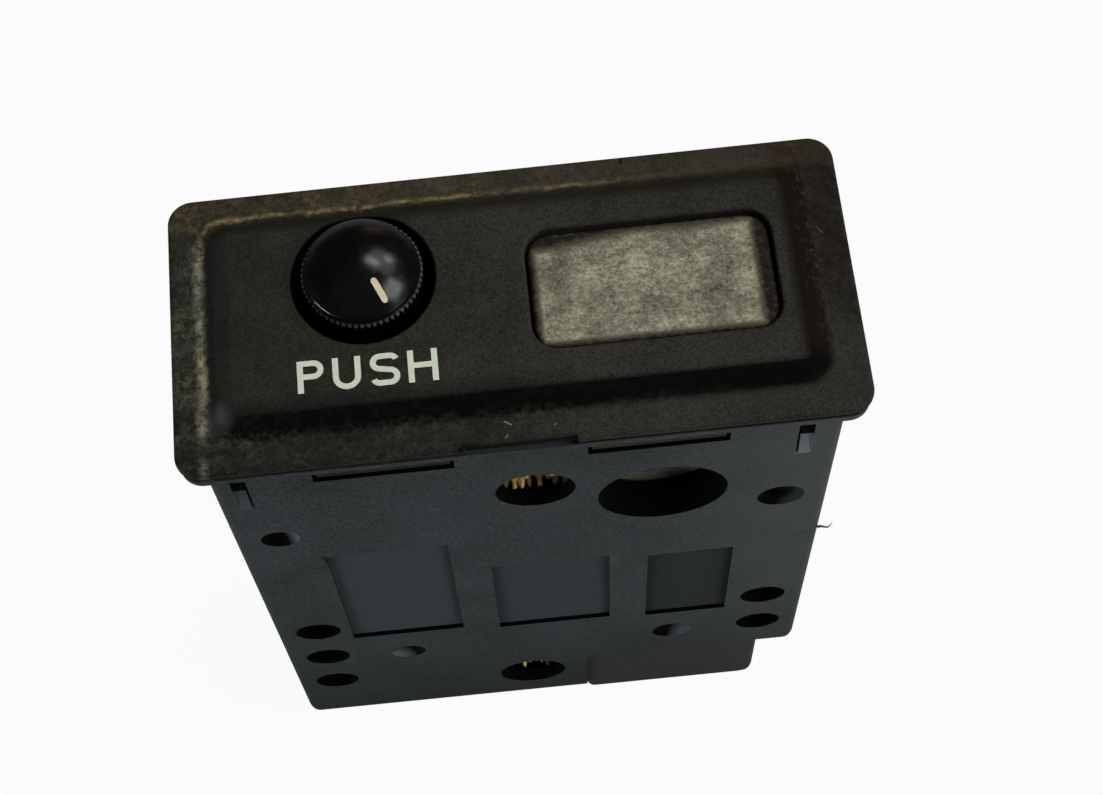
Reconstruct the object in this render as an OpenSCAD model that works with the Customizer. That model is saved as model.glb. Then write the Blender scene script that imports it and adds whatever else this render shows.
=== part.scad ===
// Dash light dimmer switch: a snapped-on bezel with a push-to-release knob and a blank window, on a
// deep moulded housing that holds the circuit board, the rotary dimmer with its push-push latch and the
// power transistor. Z points out of the front face, X to the right and Y up. z = 0 is the rear face of
// the flange, on the dashboard.

/* [Front bezel] */
// Width of the flange
bezel_w = 64; // [62:0.5:68]
// Height of the flange
bezel_h = 29; // [28.6:0.2:32]
// Corner radius of the flange
bezel_r = 2.4; // [1.8:0.1:3]
// Thickness of the bezel's front lip
plate_t = 0.7; // [0.6:0.05:1]
// Thickness of the stepped plate behind the lip
step_t = 1; // [0.8:0.05:1.4]
// Set-back of the stepped plate and of the housing's flange behind the lip
lip = 0.2; // [0.1:0.05:0.3]
// Rounding of the front plate's edge
plate_edge = 0.4; // [0.2:0.05:0.5]
// Height of the raised panel above the plate
panel_rise = 1.4; // [1.1:0.1:2]
// Run of the raised panel's sloped sides
panel_slope = 2.15; // [1.6:0.05:2.4]
// Distance from the flange's side to the foot of the panel
panel_inset_x = 3.2; // [2.8:0.1:3.8]
// Distance from the flange's top to the foot of the panel
panel_inset_y = 2.9; // [2.6:0.1:3.2]
// Corner radius at the foot of the panel
panel_r = 3; // [2.6:0.1:3.6]
// Wall of the raised panel
panel_wall = 1.5; // [1.2:0.1:1.8]
// Radius that rounds the panel's upper edge
panel_round = 1.8; // [1:0.1:2.4]
// Radius of the fillet at the foot of the panel
foot_round = 1.6; // [0.8:0.1:2]
// Radius that rounds the edges of the window and of the knob's hole
hole_edge = 0.3; // [0.2:0.05:0.4]
// Depth of the skirt that plugs into the housing
skirt_len = 6.4; // [6:0.1:7]
// Wall of the skirt
skirt_wall = 1.2; // [1:0.1:1.5]
// Width of the slits beside each catch arm
slit_w = 0.7; // [0.5:0.05:0.9]
// Width of the prying notch in the flange's lower edge
notch_w = 10.2; // [8:0.2:12]
// Height of the prying notch
notch_h = 0.65; // [0.5:0.05:1.1]
// Width of the joint line between the bezel and the housing's flange
reveal = 0.15; // [0.1:0.05:0.3]

/* [Window] */
// Distance from the knob's axis to the window's near edge
window_from_knob = 15.2; // [14.8:0.1:15.6]
// Distance from the panel's side to the window
window_margin_x = 4; // [3.4:0.05:4.4]
// Mean distance from the panel's top and bottom to the window
window_margin_y = 5.4; // [5.2:0.1:6]
// Height of the window's centre above the panel's
window_lift = 0.4; // [0:0.1:0.6]
// Corner radius of the window
window_r = 2.5; // [1.8:0.1:3]
// Gap between the insert and the window's edge
insert_gap = 0.2; // [0.1:0.05:0.5]
// Depth of the insert's face below the panel
insert_depth = 0.5; // [0.3:0.05:1.2]
// Radius that rounds the insert's face
insert_edge = 0.5; // [0.3:0.1:0.8]
// Thickness of the insert's rear flange
insert_flange_t = 1.2; // [0.8:0.1:1.6]

/* [Knob] */
// Distance from the flange's left side to the knob's axis
knob_inset = 18.5; // [18:0.1:19]
// Radius over the grip's teeth
knob_r = 5.7; // [5.2:0.05:6.2]
// Gap between the knob and its hole in the panel
knob_gap = 1; // [0.8:0.05:1.3]
// Number of teeth of the grip
knob_teeth = 60; // [36:1:72]
// Depth of the teeth
tooth_depth = 0.28; // [0.2:0.02:0.4]
// Width of the toothed shoulder round the dome
shoulder_w = 0.3; // [0.2:0.05:0.8]
// Height of the grip's shoulder above the panel with the knob pushed in
knob_proud = 1.5; // [1:0.1:2]
// Radius that rounds the dome's rim
dome_rim = 0.5; // [0.2:0.05:0.8]
// Height of the dome above the shoulder
dome_h = 2.7; // [2:0.1:3.2]
// Length of the grip below its shoulder
grip_len = 11.1; // [10.6:0.1:11.6]
// Angle of the pointer at rest, clockwise from the top
pointer_angle = 152; // [145:1:165]
// Width of the pointer line
pointer_w = 0.6; // [0.4:0.05:0.9]
// Distance from the knob's axis to the pointer's inner end
pointer_in = 2.4; // [1.5:0.1:3]
// Distance from the knob's axis to the pointer's outer end
pointer_out = 4.65; // [3.6:0.05:4.8]
// Travel of the knob from pushed in to released
travel = 6; // [5:0.1:6.2]
// Extra travel that releases the latch
over_travel = 0.8; // [0.5:0.1:1]

/* [Housing] */
// Flange overhang beyond the housing, each side
overhang_x = 2; // [1.8:0.1:2.6]
// Flange overhang beyond the housing, top and bottom
overhang_y = 1.7; // [1.4:0.1:2]
// Thickness of the housing's own flange
rim_t = 0.8; // [0.6:0.05:1.2]
// Depth of the housing behind the flange, left part
case_d = 78.4; // [77.6:0.2:84]
// Depth of the housing behind the flange, right part
step_d = 67.2; // [66.6:0.2:68.2]
// Width of the shorter right part
step_w = 25; // [24.6:0.1:25.4]
// Side and rear walls
wall = 1.8; // [1.5:0.1:2]
// Floor and roof walls
floor_wall = 1.6; // [1.4:0.1:1.8]
// Radius of the long outer edges
edge_r = 1.2; // [0.8:0.1:2.4]
// Radius of the rear corners seen from below
corner_r = 1.6; // [1:0.1:3]
// Width of each bezel catch
catch_w = 12.6; // [11:0.05:13]
// Distance between the middles of the two catches
catch_pitch = 26; // [25:0.2:27]
// Gap around each catch in its window
catch_gap = 0.4; // [0.3:0.05:0.5]
// Front edge of the catch windows behind the seat
catch_front = 0.8; // [0.7:0.1:1.1]
// Length of each catch
catch_len = 3.4; // [3:0.1:3.8]

/* [Openings in the floor] */
// Radius of the round access holes
access_r = 3.95; // [3.5:0.05:4.4]
// Radius of the large round hole
large_r = 6.45; // [5.8:0.05:6.8]
// Wall of the collar round the large hole
collar_wall = 0.6; // [0.5:0.05:0.8]
// Radius of the ventilation holes
vent_r = 2.55; // [2:0.05:2.8]
// Spacing of the ventilation holes
vent_pitch = 9.2; // [8:0.1:9.8]
// Width of the guide grooves
groove_w = 1.5; // [1:0.1:1.8]
// Depth of the marking pads
pad_depth = 0.5; // [0.3:0.05:0.7]
// Radius of the smaller dimples
dimple_r = 1.9; // [1.5:0.05:2.2]
// Radius of the dimple with a core
core_dimple_r = 2.35; // [1.9:0.05:2.6]
// Radius of the core
core_r = 1.6; // [1.2:0.05:1.8]
// Depth of the dimples
dimple_depth = 0.8; // [0.4:0.05:0.9]

/* [Connector] */
// Width of the connector shroud
shroud_w = 20.9; // [20:0.1:21.5]
// Height of the connector shroud
shroud_h = 16.4; // [13:0.1:16.8]
// Set-back of the shroud from the housing's floor
shroud_back = 0.5; // [0.3:0.1:0.9]
// Reach of the shroud behind the housing's left part
shroud_reach = 2.6; // [2:0.1:4]
// Wall of the shroud
shroud_wall = 1.4; // [1.2:0.05:1.6]
// Terminals in each of the two rows
pins_per_row = 5; // [3:1:5]
// Spacing of the terminals
pin_pitch = 3.2; // [2.8:0.1:3.3]
// Distance between the two rows
row_pitch = 3.7; // [3.2:0.1:3.9]
// Width of a terminal
pin_w = 0.8; // [0.6:0.05:1]

/* [Circuit board] */
// Thickness of the board
board_t = 1.6; // [1.2:0.1:1.8]
// Height of the board above the housing's floor
board_lift = 2.65; // [1.1:0.05:2.9]
// Gap between the board and its rails
board_gap = 0.15; // [0.1:0.05:0.2]
// Radius of the lead holes
lead_hole_r = 0.55; // [0.45:0.05:0.7]
// Width of a component lead
lead_w = 0.5; // [0.4:0.05:0.6]
// Height of a solder joint
solder_h = 1.1; // [0.6:0.05:1.3]
// Length of lead left below its solder joint
lead_tail = 0.9; // [0.5:0.05:1.1]

/* [Dimmer] */
// Radius of the shaft
shaft_r = 3; // [2.6:0.05:3.2]
// Distance from the shaft's axis to its flat
shaft_flat = 1.5; // [1.2:0.1:1.8]
// Radial running clearance of shaft and rotor
run_gap = 0.04; // [0.02:0.01:0.08]
// Length of the bushing in front of the bracket
bushing_len = 4; // [3.4:0.1:4.4]
// Thickness of the bracket's sheet
sheet_t = 0.8; // [0.6:0.05:1]
// Width of the dimmer's body
dimmer_w = 14.6; // [14:0.1:15.4]
// Gap between the dimmer's body and the housing's roof
dimmer_gap = 0.5; // [0.4:0.05:1]
// Thickness of the resistor wafer
wafer_t = 1; // [0.8:0.05:1.2]
// Least wall of the cup round the rotor
cup_wall = 0.8; // [0.6:0.05:1.1]
// Thickness of the rotor's disc
rotor_t = 2.75; // [2.4:0.05:3]
// Radius of the rotor's hub
hub_r = 4.3; // [4:0.05:4.5]
// Width of the dimmer's terminals
tag_w = 1.8; // [1.2:0.1:2.2]
// Height of the dimmer's terminals on the wafer
tag_h = 1.6; // [1.2:0.05:1.7]
// Thickness of the dimmer's terminals
tag_t = 0.6; // [0.5:0.05:0.8]
// Gap between the bracket and the dimmer's terminals
tag_gap = 0.2; // [0.1:0.05:0.3]
// Width of the wiper's ring
wiper_w = 1.2; // [1:0.05:1.3]
// Rear wall of the dimmer's body
dimmer_wall = 2.4; // [2:0.1:2.8]
// Turning range of the knob, degrees
turn_range = 310; // [270:5:310]

/* [Latch] */
// Side walls of the latch body
latch_wall = 2; // [1.8:0.05:2.4]
// Thickness of the slider's walls
slider_wall = 1.2; // [1:0.05:1.4]
// Sliding clearance of the slider
slide_gap = 0.3; // [0.2:0.05:0.4]
// Length of the return spring with the knob pushed in
spring_len = 7.8; // [7:0.1:9]
// Mean radius of the return spring
spring_r = 2.6; // [2.2:0.1:3]
// Radius of the spring wire
wire_r = 0.25; // [0.2:0.01:0.32]
// Turns of the return spring
spring_turns = 8; // [6:1:9]
// Radius of the latch pin's wire
latch_wire_r = 0.35; // [0.3:0.01:0.4]
// Length of the latch pin's arm
latch_arm = 7.2; // [7:0.1:7.6]

/* [Board parts] */
// Gap between the heat sink and the housing's roof
sink_gap = 2.5; // [1:0.1:6]
// Width of the heat sink
sink_w = 16; // [15:0.2:16.4]
// Length of the heat sink
sink_len = 22; // [20:0.5:23]
// Thickness of the heat sink's base
sink_base = 2.4; // [2:0.1:3]
// Thickness of the heat sink's fins
sink_fin = 1.8; // [1.2:0.1:2]
// Height of the control module
control_h = 8.6; // [7:0.1:9.4]
// Thickness of the control module
control_t = 3.2; // [2.8:0.1:3.4]
// Width of the film capacitor
film_w = 10; // [8:0.5:11]
// Height of the film capacitor
film_h = 8; // [6:0.5:9]
// Thickness of the film capacitor
film_t = 4; // [3:0.5:4.5]
// Width of the power transistor
transistor_w = 10; // [9.6:0.1:10.6]
// Length of the power transistor's body
transistor_len = 9; // [8:0.1:9.4]
// Thickness of the power transistor's body
transistor_t = 4.4; // [4:0.1:4.8]
// Distance of the transistor's screw from the heat sink's front
screw_inset = 4.8; // [4:0.1:5.6]
// Radius of the transistor's screw
screw_r = 1.45; // [1.2:0.05:1.6]
// Radius of the screw's head
screw_head_r = 2.8; // [2.4:0.1:3]
// Height of the screw's head
screw_head_h = 2; // [1.4:0.1:2.2]
// Length of the transistor's tab between its body and the screw
tab_neck = 3.4; // [3.2:0.1:3.6]
// Length of the transistor's tab in front of the screw
tab_nose = 3; // [2.6:0.1:3.4]
// Thickness of the transistor's tab
tab_t = 1.3; // [1.1:0.05:1.5]
// Radius of the filter capacitor
cap_r = 4.4; // [3.6:0.1:4.6]
// Length of the filter capacitor
cap_len = 16; // [12:0.5:16.5]
// Radius of the resistors
resistor_r = 1.15; // [0.9:0.05:1.4]
// Length of the resistors
resistor_len = 6.4; // [6:0.1:7]
// Number of resistors
resistor_count = 4; // [2:1:4]
// Radius of the diodes
diode_r = 1.35; // [1.1:0.05:1.45]
// Length of the diodes
diode_len = 5; // [4.6:0.1:5.4]
// Radius of the driver transistors
driver_r = 2.5; // [2.2:0.05:2.6]
// Height of the driver transistors' bodies
driver_h = 4.8; // [4:0.1:5.4]
// Radius of the choke's flanges
choke_r = 3.6; // [3:0.1:3.8]
// Height of the choke
choke_h = 9; // [6:0.5:11]

/* [Hidden] */
$fn = 48;
// Overlap that joins or cuts cleanly
eps = 0.05;
// Clearance between fixed pieces that slip together
fit_gap = 0.1;

// Levels of the front, along Z
lip_z = rim_t + step_t;
plate_z = lip_z + plate_t;
panel_z = plate_z + panel_rise;
hollow_z = panel_z - panel_wall;
insert_z = panel_z - insert_depth;
insert_seat_z = insert_z - 2;
insert_back_z = insert_seat_z - insert_flange_t;
panel_w = bezel_w - 2 * panel_inset_x;
panel_h = bezel_h - 2 * panel_inset_y;

// Housing sections
housing_w = bezel_w - 2 * overhang_x;
housing_h = bezel_h - 2 * overhang_y;
inner_w = housing_w - 2 * wall;
inner_h = housing_h - 2 * floor_wall;
inner_r = 0.8;
floor_y = -inner_h / 2;
roof_y = inner_h / 2;
step_x = housing_w / 2 - step_w;
shroud_d = case_d + shroud_reach;
skirt_w = inner_w - 2 * fit_gap;
skirt_h = inner_h - 2 * fit_gap;
catch_shift = -0.5;
groove_shift = -0.4;
catch_back = catch_front + 0.2;
window_back = catch_back + catch_len + 0.9;

// Board levels and outline
board_y = floor_y + board_lift;
board_top = board_y + board_t;
board_front = -skirt_len - 1.4;
board_rear_left = -case_d + wall + 0.4;
board_rear_right = -step_d + wall + 0.3;
board_half = inner_w / 2 - board_gap;
board_step_x = step_x - wall - board_gap;
rail_w = 1.2;

// Places across the front: the dimmer's body under the roof sets the knob's height, and the window lies
// between the knob and the panel's right side
body_half = dimmer_w / 2;
knob_x = -bezel_w / 2 + knob_inset;
knob_y = roof_y - dimmer_gap - body_half;
// Space between the board and the dimmer's body, for the wafer's tail
tail_rise = knob_y - body_half - board_top;
window_left = knob_x + window_from_knob;
window_w = panel_w / 2 - window_margin_x - window_left;
window_h = panel_h - 2 * window_margin_y;
window_x = window_left + window_w / 2;
window_y = window_lift;

// Knob and dimmer levels, from front to rear
shoulder_z = panel_z + knob_proud;
hole_r = knob_r + knob_gap;
dome_r = knob_r - shoulder_w;
// The dome's sphere runs tangent into its rounded rim
rim_x = dome_r - dome_rim;
rim_drop = dome_h - 0.1;
dome_sphere_r = (rim_x * rim_x + rim_drop * rim_drop - dome_rim * dome_rim) / (2 * (rim_drop - dome_rim));
dome_centre_z = shoulder_z + dome_h - dome_sphere_r;
knob_rear = shoulder_z - grip_len;
shaft_front = shoulder_z - 3.2;
bushing_front = knob_rear - over_travel - 1.1;
bracket_front = bushing_front - bushing_len;
wafer_front = bracket_front - sheet_t;
case_front = wafer_front - wafer_t;
wiper_lift = 0.65;
rotor_front = case_front - wiper_lift;
rotor_back = rotor_front - rotor_t;
cavity_back = rotor_back - 0.2;
case_back = cavity_back - dimmer_wall;
hub_back = case_back - 0.3;
rotor_lug = 0.9;
cavity_r = body_half - cup_wall;
rotor_r = cavity_r - rotor_lug - 0.2;
track_r = rotor_r - 0.95;
// The arc that the turning range leaves free is shared by the rotor's lug and the end stop
lug_half = (360 - turn_range) * 0.2;
stop_half = (360 - turn_range) * 0.3 - 1;

// Latch levels, from front to rear; the fork clears the hub with the knob released
fork_t = 1.6;
fork_play = 0.2;
fork_front = hub_back - travel - 0.7;
fork_back = fork_front - fork_t;
neck_r = 1.9;
button_t = 1.6;
slider_rear_front = fork_back - 3.8;
slider_rear_back = slider_rear_front - 1.4;
slider_r = body_half - latch_wall - slide_gap;
cam_top = slider_r;
pivot_z = fork_front + 4.8;
tip_z = pivot_z - latch_arm;
tip_swing = 1.6;
track_front = tip_z + over_travel + latch_wire_r + 0.3;
track_back = tip_z - travel - latch_wire_r - 0.3;
track_depth = 0.8;
cam_end = track_back - 1;
latch_inner = slider_r + slide_gap;
arm_y = cam_top + latch_wire_r + 0.25;
latch_roof = arm_y + latch_wire_r + 0.25;
latch_roof_t = 1.2;
latch_back_in = slider_rear_back - spring_len;
latch_back = latch_back_in - 1.2;
latch_floor = -latch_inner - 1.1;
sheet_x = body_half + fit_gap;
leg_z = [case_front - 2.6, latch_back + 6];
leg_w = 2;

// Connector places
shroud_x = step_x + shroud_w / 2;
shroud_bottom = -housing_h / 2 + shroud_back;
shroud_y = shroud_bottom + shroud_h / 2;
shroud_floor = -step_d - 2;
rows_y = [board_top + 1, board_top + 1 + row_pitch];
base_w = (pins_per_row - 1) * pin_pitch + 3.4;
base_h = row_pitch + 2.2;
base_front = -step_d + wall + 5.7;
base_back = -step_d + wall + 0.2;
pin_tip = shroud_floor - 5.5;
pin_bends = [base_front + 0.9, base_front + 3.3];

// Places of the parts on the board, as [x, z]: the power parts in front of the connector, the small ones
// behind the dimmer's latch and against the rear wall
control_pitch = 1.27;
control_pins = 8;
control_w = control_pins * control_pitch + 0.8;
wing_x = knob_x + sheet_x + sheet_t;
control_at = [wing_x + 0.3 + control_w / 2, -16];
sink_h = roof_y - sink_gap - board_top;
film_at = [inner_w / 2 - rail_w - 0.1 - sink_w / 2, base_front + 6.9];
transistor_lead_z = film_at[1] + 4.6;
sink_at = [film_at[0], transistor_lead_z + sink_len + 2.2];
cap_at = [wing_x + 0.4 + cap_r, sink_at[1]];
resistor_pitch = 2 * resistor_r + 0.9;
resistor_half = resistor_len / 2 + 1.8;
diode_half = diode_len / 2 + 1.9;
resistor_at = [-inner_w / 2 + rail_w + 3 + resistor_half, latch_back - 4.4];
diode_at = [resistor_at[0] + resistor_half + diode_half + 6, latch_back - 3.6];
driver_at = [step_x - 6.4, board_rear_left + driver_r + 0.3];
driver_pitch = 2 * driver_r + 3.5;
choke_at = [-inner_w / 2 + rail_w + 0.4 + choke_r, board_rear_left + 6.7];

function pair(at, half) = [[at[0] - half, at[1]], [at[0] + half, at[1]]];
function row(at, count, pitch) = [for (i = [0 : count - 1])
    [at[0] + (i - (count - 1) / 2) * pitch, at[1]]];

control_leads = [for (i = [0 : control_pins - 1])
    [control_at[0] + (i - (control_pins - 1) / 2) * control_pitch, control_at[1] + (i % 2 - 0.5) * 2.5]];
cap_leads = pair([cap_at[0], cap_at[1] - cap_len - 1.2], 2.5);
transistor_leads = row([sink_at[0], transistor_lead_z], 3, 2.54);
film_leads = pair(film_at, film_w * 0.375);
resistor_leads = [for (i = [0 : resistor_count - 1])
    each pair([resistor_at[0], resistor_at[1] - i * resistor_pitch], resistor_half)];
diode_leads = [for (i = [0, 1])
    each pair([diode_at[0], diode_at[1] - i * resistor_pitch], diode_half)];
driver_leads = [for (i = [0, 1]) each row([driver_at[0] - i * driver_pitch, driver_at[1]], 3, 1.9)];
choke_leads = pair(choke_at, 2.5);
terminal_leads = [for (r = [0, 1]) each row([shroud_x, pin_bends[r]], pins_per_row, pin_pitch)];
dimmer_leads = row([knob_x, wafer_front + tag_t / 2], 3, 5);
leads = concat(control_leads, cap_leads, transistor_leads, film_leads, resistor_leads, diode_leads,
    driver_leads, choke_leads, terminal_leads, dimmer_leads);

// Floor openings and marks, as [x, z]
access_at = [[control_at[0] + 0.1, control_at[1] + 3.2], [step_x - 6.6, -case_d + 7.5]];
large_at = [knob_x + 26.6, -16.7];
vent_x = housing_w / 2 - 4.8;
vent_left_z = -48.4;
vent_right_z = -50.8;
dimples = [[-housing_w / 2 + 4.7, -18.9], [housing_w / 2 - 4.9, -20.7], [-housing_w / 2 + 14.2, -58.5],
    [step_x + 10, -60.2]];
// Marking pads, as [left, right, front, rear]
pads = [[-housing_w / 2 + 8.5, -housing_w / 2 + 21.1, -25.2, -51.8], [-4.8, 7.8, -33, -53],
    [housing_w / 2 - 18.1, housing_w / 2 - 9, -34.2, -53.9]];
tool_hole_at = large_at - [1.2, 3.7];

// Rounded rectangle
module rounded_rect(w, h, r) {
    square([w - 2 * r, h], center = true);
    square([w, h - 2 * r], center = true);
    for (sx = [-1, 1], sy = [-1, 1])
        translate([sx * (w / 2 - r), sy * (h / 2 - r)]) circle(r);
}

// Upright block with rounded corners, from z0 up to z1
module rounded_block(w, h, r, z0, z1) {
    translate([0, 0, z0]) linear_extrude(z1 - z0) rounded_rect(w, h, r);
}

// Slab with rounded corners whose edge has the section drawn by its child: x = 0 is the outer face,
// x = -r the inner limit and y runs from 0 to the slab's thickness t
module profiled_slab(w, h, r, t) {
    linear_extrude(t) square([w - 2 * r, h - 2 * r], center = true);
    for (s = [0, 1]) {
        rotate(180 * s) translate([w / 2 - r, 0, 0]) rotate([90, 0, 0])
            linear_extrude(h - 2 * r, center = true) translate([r, 0]) children();
        rotate(90 + 180 * s) translate([h / 2 - r, 0, 0]) rotate([90, 0, 0])
            linear_extrude(w - 2 * r, center = true) translate([r, 0]) children();
    }
    for (sx = [-1, 1], sy = [-1, 1])
        translate([sx * (w / 2 - r), sy * (h / 2 - r), 0]) rotate_extrude() intersection() {
            translate([r, 0]) children();
            translate([0, -1]) square([2 * r + t, t + 2]);
        }
}

// Section of the front plate's edge, with its front corner rounded
module plate_section() {
    translate([-bezel_r, 0]) square([bezel_r, plate_t - plate_edge]);
    translate([-bezel_r, 0]) square([bezel_r - plate_edge, plate_t]);
    translate([-plate_edge, plate_t - plate_edge]) intersection() {
        circle(plate_edge);
        square(plate_edge);
    }
}

// Section of the raised panel's sloped side: rounded into the panel's face and filleted into the plate
module panel_section() {
    slope = atan(panel_rise / panel_slope);
    // Distances from the two corners to where the arcs begin
    top = panel_round * tan(slope / 2);
    foot = foot_round * tan(slope / 2);
    top_on_slope = [-panel_slope + top * cos(slope), panel_rise - top * sin(slope)];
    difference() {
        polygon([[-panel_r, -eps], [0, -eps], [0, 0], [-panel_slope, panel_rise], [-panel_r, panel_rise]]);
        difference() {
            polygon([top_on_slope, top_on_slope + [sin(slope), cos(slope)],
                [-panel_slope - top, panel_rise + 1], [-panel_slope - top, panel_rise]]);
            translate([-panel_slope - top, panel_rise - panel_round]) circle(panel_round, $fn = 96);
        }
    }
    difference() {
        polygon([[-foot, -eps], [foot, -eps], [foot, 0], [-foot * cos(slope), foot * sin(slope)]]);
        translate([foot, foot_round]) circle(foot_round, $fn = 96);
    }
}

// Corner that rounds the panel's edge round a hole: the outer part of a square, r wide, outside its circle
module edge_section(r, inner) {
    difference() {
        translate([-inner, 0]) square([inner, r + eps]);
        circle(r);
    }
}

// Places its children at the middle of each catch: two below and, turned over, two above
module at_catches() {
    for (side = [-1, 1], top = [0, 1])
        translate([catch_shift + side * catch_pitch / 2, 0, 0]) mirror([0, top, 0]) children();
}

// Flexible catch: an arm on the skirt with a hook that fills the housing's window
module catch_hook() {
    hook_reach = floor_wall + fit_gap - 0.1;
    translate([-catch_w / 2, -skirt_h / 2, 0]) rotate([90, 0, 90]) linear_extrude(catch_w)
        polygon([[eps, -catch_back], [-hook_reach, -catch_back], [-hook_reach, -catch_back - catch_len],
            [eps, -catch_back - catch_len - 0.8]]);
}

module front_bezel() {
    color("#1f1e1c") difference() {
        union() {
            rounded_block(bezel_w - 2 * lip, bezel_h - 2 * lip, bezel_r - lip, rim_t + reveal, lip_z + eps);
            rounded_block(bezel_w - 2 * lip - 1, bezel_h - 2 * lip - 1, bezel_r - lip - 0.5, rim_t,
                rim_t + reveal + eps);
            translate([0, 0, lip_z]) profiled_slab(bezel_w, bezel_h, bezel_r, plate_t) plate_section();
            translate([0, 0, plate_z - eps]) linear_extrude(eps)
                rounded_rect(panel_w, panel_h, panel_r);
            translate([0, 0, plate_z]) profiled_slab(panel_w, panel_h, panel_r, panel_rise) panel_section();
            difference() {
                rounded_block(skirt_w, skirt_h, inner_r, -skirt_len, rim_t + eps);
                bezel_hollow(-skirt_len - eps);
            }
            bezel_hooks();
        }
        bezel_hollow(rim_t - eps);
        translate([knob_x, knob_y, 0]) {
            cylinder(r = hole_r, h = panel_z + 1);
            translate([0, 0, panel_z - hole_edge]) rotate_extrude()
                translate([hole_r + hole_edge, 0]) edge_section(hole_edge, hole_r + hole_edge);
        }
        translate([window_x, window_y, 0]) {
            rounded_block(window_w, window_h, window_r, 0, panel_z + 1);
            translate([0, 0, panel_z - hole_edge])
                profiled_slab(window_w + 2 * hole_edge, window_h + 2 * hole_edge, window_r + hole_edge,
                    hole_edge + eps) edge_section(hole_edge, window_r + hole_edge);
        }
        at_catches() catch_slits();
        translate([-notch_w / 2 - 0.3, -bezel_h / 2 - 1, 0]) cube([notch_w, notch_h + 1, plate_z + 1]);
    }
    color("#1f1e1c") bezel_inside();
}

// Room behind the raised panel, from z0 up
module bezel_hollow(z0) {
    rounded_block(skirt_w - 2 * skirt_wall, skirt_h - 2 * skirt_wall, inner_r, z0, hollow_z);
}

module bezel_hooks() {
    at_catches() catch_hook();
}

// The two cuts beside a catch that let its arm of the skirt flex
module catch_slits() {
    for (side = [-1, 1])
        translate([side * (catch_w + slit_w) / 2 - slit_w / 2, -skirt_h / 2 - eps, -skirt_len - 1])
            cube([slit_w, skirt_wall + 2 * eps, skirt_len + 0.6]);
}

// Collars behind the panel: a tube round the knob and a frame round the window, with its four staked posts
module bezel_inside() {
    translate([knob_x, knob_y, -4]) difference() {
        cylinder(r = hole_r + 0.8, h = hollow_z + 4 + eps);
        translate([0, 0, -1]) cylinder(r = hole_r, h = panel_z + 6);
    }
    translate([window_x, window_y, 0]) {
        difference() {
            rounded_block(window_w + 1.6, window_h + 2.4, window_r + 0.8, insert_seat_z, hollow_z + eps);
            rounded_block(window_w, window_h, window_r, insert_seat_z - 1, panel_z + 1);
        }
        at_posts() {
            translate([0, 0, insert_back_z]) cylinder(r = 0.8, h = hollow_z - insert_back_z + eps);
            translate([0, 0, insert_back_z - 0.5]) cylinder(r1 = 0.9, r2 = 1.3, h = 0.5);
        }
    }
}

module at_posts() {
    for (sx = [-1, 1], sy = [-1, 1])
        translate([sx * window_w / 3, sy * (window_h / 2 + 1.7), 0]) children();
}

// Blank insert of the window, with a rounded face and a rear flange held by the staked posts
module window_insert() {
    face_w = window_w - 2 * insert_gap;
    face_h = window_h - 2 * insert_gap;
    face_r = window_r - insert_gap;
    color("#6f6e5f") translate([window_x, window_y, 0]) difference() {
        union() {
            rounded_block(face_w, face_h, face_r, insert_seat_z - eps, insert_z - insert_edge);
            translate([0, 0, insert_z - insert_edge]) profiled_slab(face_w, face_h, face_r, insert_edge)
                intersection() {
                    translate([-face_r, 0]) square([face_r, insert_edge]);
                    union() {
                        translate([-face_r, 0]) square([face_r - insert_edge, insert_edge]);
                        translate([-insert_edge, 0]) circle(insert_edge);
                    }
                }
            rounded_block(window_w + 1.4, window_h + 5.6, 1, insert_back_z, insert_seat_z);
        }
        at_posts() translate([0, 0, insert_back_z - 1]) cylinder(r = 0.9, h = insert_flange_t + 2);
    }
}

// Section of the pointer's inlay, as a bar over the dome
module pointer_bar() {
    h = shoulder_z + dome_h + 1;
    half = pointer_w / 2;
    rotate(-pointer_angle) {
        translate([-half, pointer_in + half, 0]) cube([pointer_w, pointer_out - pointer_in - pointer_w, h]);
        for (y = [pointer_in + half, pointer_out - half])
            translate([0, y, 0]) cylinder(r = half, h = h, $fn = 24);
    }
}

// Domed top of the knob
module dome() {
    rim_z = shoulder_z + dome_h - rim_drop;
    intersection() {
        translate([0, 0, dome_centre_z]) sphere(r = dome_sphere_r, $fn = 96);
        translate([0, 0, shoulder_z - eps])
            cylinder(r = rim_x * dome_sphere_r / (dome_sphere_r - dome_rim), h = dome_h + 1, $fn = 96);
    }
    rotate_extrude($fn = 96) intersection() {
        translate([rim_x - 1, shoulder_z - eps]) square([dome_rim + 2, dome_h]);
        union() {
            translate([rim_x, rim_z]) circle(dome_rim);
            translate([rim_x - 2, shoulder_z - 1]) square([dome_rim + 2, rim_z - shoulder_z + 1]);
        }
    }
}

// Toothed grip with a bevelled shoulder
module grip() {
    step = 360 / knob_teeth;
    intersection() {
        translate([0, 0, knob_rear]) linear_extrude(grip_len)
            polygon([for (i = [0 : knob_teeth - 1], c = [[0, 0], [0.3, 1], [0.7, 1]])
                let (r = knob_r - tooth_depth * (1 - c[1]), a = (i + c[0]) * step)
                    [r * cos(a), r * sin(a)]]);
        rotate_extrude($fn = 96) polygon([[0, knob_rear], [knob_r, knob_rear], [knob_r, shoulder_z - 0.35],
            [dome_r - 0.05, shoulder_z], [0, shoulder_z]]);
    }
}

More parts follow.
